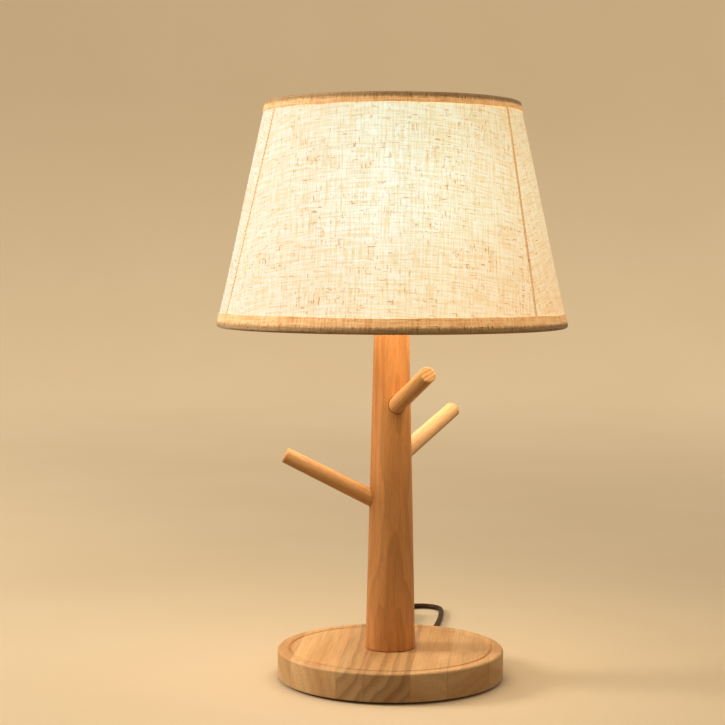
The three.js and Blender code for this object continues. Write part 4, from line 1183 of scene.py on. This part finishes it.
case_low = stacked("switch_case_low", switch_outline(), [
    (0, 1.6), (0.3, 0.9), (0.8, 0.35), (1.6, 0), (SWITCH_SPLIT - 0.5, 0), (SWITCH_SPLIT - 0.15, 0.25),
], switch_lie)
case_top = stacked("switch_case_top", switch_outline(), [
    (SWITCH_SPLIT + 0.15, 0.25), (SWITCH_SPLIT + 0.5, 0), (12.6, 0), (14.2, 0.25), (15.2, 0.75), (15.8, 1.5),
    (16.0, 2.6),
], switch_lie)
cut_away(case_top, block("window", WINDOW_LOW, WINDOW_HIGH, switch_lie))
dress(case_low, pressed_look, "stand", "switch", "switch_base")
dress(case_top, pressed_look, "stand", "switch", "switch_cover")

# %% [markdown]
# The rocker tips about a pin. Its top is a shallow hollow and its ends are arcs about that pin, so
# the gap to the window stays the same on the way.

# %% Rocker
ROCKER_REACH, ROCKER_WIDTH, ROCKER_PIN = 9.6, 10.4, 12.7
ROCKER_RISE, ROCKER_DEPTH, ROCKER_HOLLOW, ROCKER_DIP = 4.3, 2.7, 2.8, 1.5
ROCKER_TILT = math.radians(8)
ROCKER_LEVELS = [(-1, 0.35), (-0.955, 0.0), (0.955, 0.0), (1, 0.35)]
low_turn, high_turn = math.asin(-ROCKER_DEPTH / ROCKER_REACH), math.asin(ROCKER_RISE / ROCKER_REACH)
turns = [low_turn + (high_turn - low_turn) * s / 8 for s in range(9)]
edge = [(ROCKER_REACH * math.cos(t), ROCKER_REACH * math.sin(t)) for t in turns]
edge[-1] = (edge[-1][0] - 0.5, edge[-1][1])
shares = [1 - s / 7 for s in range(1, 8)]
half_line = edge + [(edge[-1][0] * s, ROCKER_HOLLOW + ROCKER_DIP * s ** 1.6) for s in shares]
rocker_line = half_line + [(-x, y) for x, y in reversed(half_line[:-1])]
pin = Matrix.Translation((0, 0, ROCKER_PIN * MM)) @ Matrix.Rotation(ROCKER_TILT, 4, "Y")


def rocker_point(x, z, across, inset):
    place = (x * (1 - inset / ROCKER_REACH), across * ROCKER_WIDTH / 2, z - (inset if z > 2 else 0))
    return switch_lie @ pin @ (Vector(place) * MM)


rocker = skinned("rocker", [
    [rocker_point(x, z, across, inset) for x, z in rocker_line] for across, inset in ROCKER_LEVELS
], caps=True)
dress(rocker, rocker_look, "rocker", "switch", "switch_rocker")

# %% [markdown]
# ## Plug
# A moulded plug swells from the lead's size to a square grip. Between two sections the shape is
# blended smoothly, and each section is a rounded square that gets squarer toward the blades.

# %% The plug's sections
PLUG_PLACE = Vector((-8.5, 127.3, 20.1))
PLUG_LENGTH, PLUG_WIDTH, PLUG_HEIGHT, PLUG_NECK = 41.0, 25.0, 14.8, 6.2
PLUG_SIDES = 72
PLUG_SECTIONS = [
    # share of the length, shares of the width and height, squareness
    (0.0, PLUG_NECK / PLUG_WIDTH, PLUG_NECK / PLUG_HEIGHT, 2.0), (0.32, 0.36, 0.60, 2.0),
    (0.42, 0.66, 0.86, 2.6), (0.56, 0.94, 0.98, 3.6), (0.93, 1.0, 1.0, 4.0),
    (0.985, 0.985, 0.97, 4.0), (1.0, 0.93, 0.90, 4.0),
]


def plug_section(share):
    for low, high in zip(PLUG_SECTIONS, PLUG_SECTIONS[1:]):
        if share <= high[0]:
            t = (share - low[0]) / (high[0] - low[0])
            t = ease(t) if low[0] > 0 else t
            return [a + (b - a) * t for a, b in zip(low[1:], high[1:])]


print("plug: widths", [round(PLUG_WIDTH * plug_section(s / 4)[0], 1) for s in range(5)], "mm")

# %% The plug's body
RIB_DEPTH, RIB_COUNT, GRIP_DEPTH, GRIP_COUNT, GRIP_HALF = 0.4, 11, 0.35, 12, 0.6


def wavy(share, depth, count, start, end):
    """Rounded ridges between two shares of the length."""
    return depth * max(0, math.sin(2 * math.pi * share * count)) if start < share < end else 0


def plug_row(share):
    wide, tall, square = plug_section(share)
    ribs = wavy(share, RIB_DEPTH, RIB_COUNT, 0.05, 0.30)
    grip = wavy(share, GRIP_DEPTH, GRIP_COUNT, 0.60, 0.86)
    row = []
    for side in range(PLUG_SIDES):
        c, s, _ = level_way(2 * math.pi * side / PLUG_SIDES)
        half_wide = PLUG_WIDTH / 2 * wide - ribs - (grip if abs(s) < GRIP_HALF else 0)
        half_tall = PLUG_HEIGHT / 2 * tall - ribs
        x = math.copysign(abs(c) ** (2 / square), c) * half_wide
        z = math.copysign(abs(s) ** (2 / square), s) * half_tall
        row.append((PLUG_PLACE + Vector((x, PLUG_LENGTH * share, z))) * MM)
    return row


plug = skinned("plug", [plug_row(s) for s in [*(n / 56 for n in range(56)), 0.992, 1.0]], caps=True)
dress(plug, pressed_look, "stand", "lead", "plug_body")

# %% [markdown]
# The spare lead is wound up and held by a strap of hook-and-loop tape. The strap goes once round
# the turns, so it is a flat band on a rounded loop, with its edges drawn in a little.

# %% Tie
TIE_IN, TIE_OUT, TIE_LOW, TIE_HIGH = 16.6, 34.95, 1.1, 12.7
TIE_WIDTH, TIE_THICKNESS, TIE_CORNER, TIE_EDGE = 9.0, 0.9, 2.5, 0.94


def strap_line(grow, steps=7):
    """The rounded loop of the strap in (out, up), grown outward."""
    corner = TIE_CORNER + grow
    left, right = TIE_IN - grow + corner, TIE_OUT + grow - corner
    low, high = TIE_LOW - grow + corner, TIE_HIGH + grow - corner
    loop = []
    for out, up, start in ((right, high, 0), (left, high, 90), (left, low, 180), (right, low, 270)):
        loop += rounding(out, up, corner, start, start + 90, steps)
    return loop


tie = skinned("tie_strap", [
    [COIL_MIDDLE + Vector((-out, across * TIE_WIDTH / 2, up)) * MM for out, up in strap_line(grow)]
    for grow, across in ((0, -1), (0, 1), (TIE_THICKNESS, TIE_EDGE), (TIE_THICKNESS, -TIE_EDGE))
], ring=True)
tie_look = cloudy(
    "hook_tape", (1400, 3, 0.8), (0.35, paint(34, 24, 17)), (0.68, paint(70, 54, 40)),
    relief=(0.0003, 1400, 3, 0.8), roughness=0.85, specular_ior_level=0.2, sheen_weight=0.25,
    sheen_roughness=0.5,
)
dress(tie, tie_look, "stand", "lead", "coil_tie")

# %% [markdown]
# ## The lead's first points
# The first point of each stretch of the lead is taken as a tuple.

# %% The lead's first points
tuple(line_to_switch[0])
tuple(line_to_plug[0])

# %% [markdown]
# ## Floor and light
# A lamp stands best before something plain. The floor is one pale sheet that turns up into a
# wall in a wide curve, so there is no line where they meet.

# %% Floor and wall
FLOOR_LOW, FLAT_REACH, WALL_BEND, WALL_HEIGHT = -0.2, 2500, 800, 4400
BEND_TURNS = (0.0, 0.2, 0.4, 0.6, 0.8, 1.0, 1.2, 1.4, 1.5708)
floor = turned("floor", [
    (0, FLOOR_LOW), (500, FLOOR_LOW), (1200, FLOOR_LOW),
    *[(FLAT_REACH + WALL_BEND * math.sin(t), FLOOR_LOW + WALL_BEND * (1 - math.cos(t))) for t in BEND_TURNS],
    (FLAT_REACH + WALL_BEND, WALL_HEIGHT),
], sides=96)
floor_look = cloudy(
    "pale_floor", (3, 4), (0.3, paint(228, 201, 160)), (0.7, paint(232, 206, 166)),
    roughness=0.85, specular_ior_level=0.15, emission_strength=1.0,
)
away = floor_look.step(floor_look.vector("LENGTH", floor_look.place(), out="Value"), 0.5, 3.0)
floor_look.glow(floor_look.ramp(away, (0.0, (0, 0, 0)), (1.0, (0.26, 0.19, 0.112))))
floor.data.materials.append(floor_look.material)
floor.visible_diffuse = False
print("floor: wall at", FLAT_REACH + WALL_BEND, "mm")

# %% [markdown]
# The studio light is soft and plain: one large light from the left and an even sky, darker
# below, since a floor sends less light up than a ceiling sends down.

# %% Sky and colours
SKY = [(0.0, (0.11, 0.08, 0.05)), (0.5, (0.245, 0.185, 0.115)), (1.0, (0.66, 0.64, 0.59))]
world = bpy.data.worlds.new("even_sky")
world.use_nodes = True
sky = Graph(world.node_tree)
way_up = sky.node("SeparateXYZ", {0: sky.node("TexCoord", {}).outputs["Generated"]}).outputs["Z"]
share_up = sky.node("MapRange", {"Value": way_up, "From Min": -1}).outputs[0]
sky.put(sky.tree.nodes["Background"].inputs["Color"], sky.ramp(share_up, *SKY))
bpy.context.scene.world = world
bpy.context.scene.view_settings.view_transform = "Standard"
print("sky:", len(SKY), "tones")

# %% [markdown]
# The bulb's own warm light comes down through the mouth of the shade, as on the real lamp: a
# small disc in the mouth throws most of it, and a lamp inside the globe lights the cloth's back.

# %% Lights
def lamp(name, kind, place, power, colour):
    data = bpy.data.lights.new(name, kind)
    data.energy = power
    data.color = colour
    made = added(name, data)
    made.location = place
    return made


def soft_light(name, place, aim, size, power, colour):
    made = lamp(name, "AREA", place, power, colour)
    made.data.shape = "DISK"
    made.data.size = size
    made.rotation_euler = (Vector(aim) - Vector(place)).to_track_quat("-Z", "Y").to_euler()
    made.visible_camera = False


soft_light("key_light", (-1.9, 0.06, 1.12), (0, 0, 0.25), 0.8, 30, (1.0, 0.96, 0.90))
soft_light("glow_down", (0, 0, 0.318), (0, 0, 0), 0.28, 0.40, (1.0, 0.90, 0.80))
bulb_light = lamp("bulb_light", "POINT", (0, 0, BULB_MIDDLE * MM), 0.35, (1.0, 0.82, 0.60))
bulb_light.data.shadow_soft_size = 0.028
print("lights:", len(bpy.data.lights))

# %% [markdown] The dressed lamp must be as large as the frame.
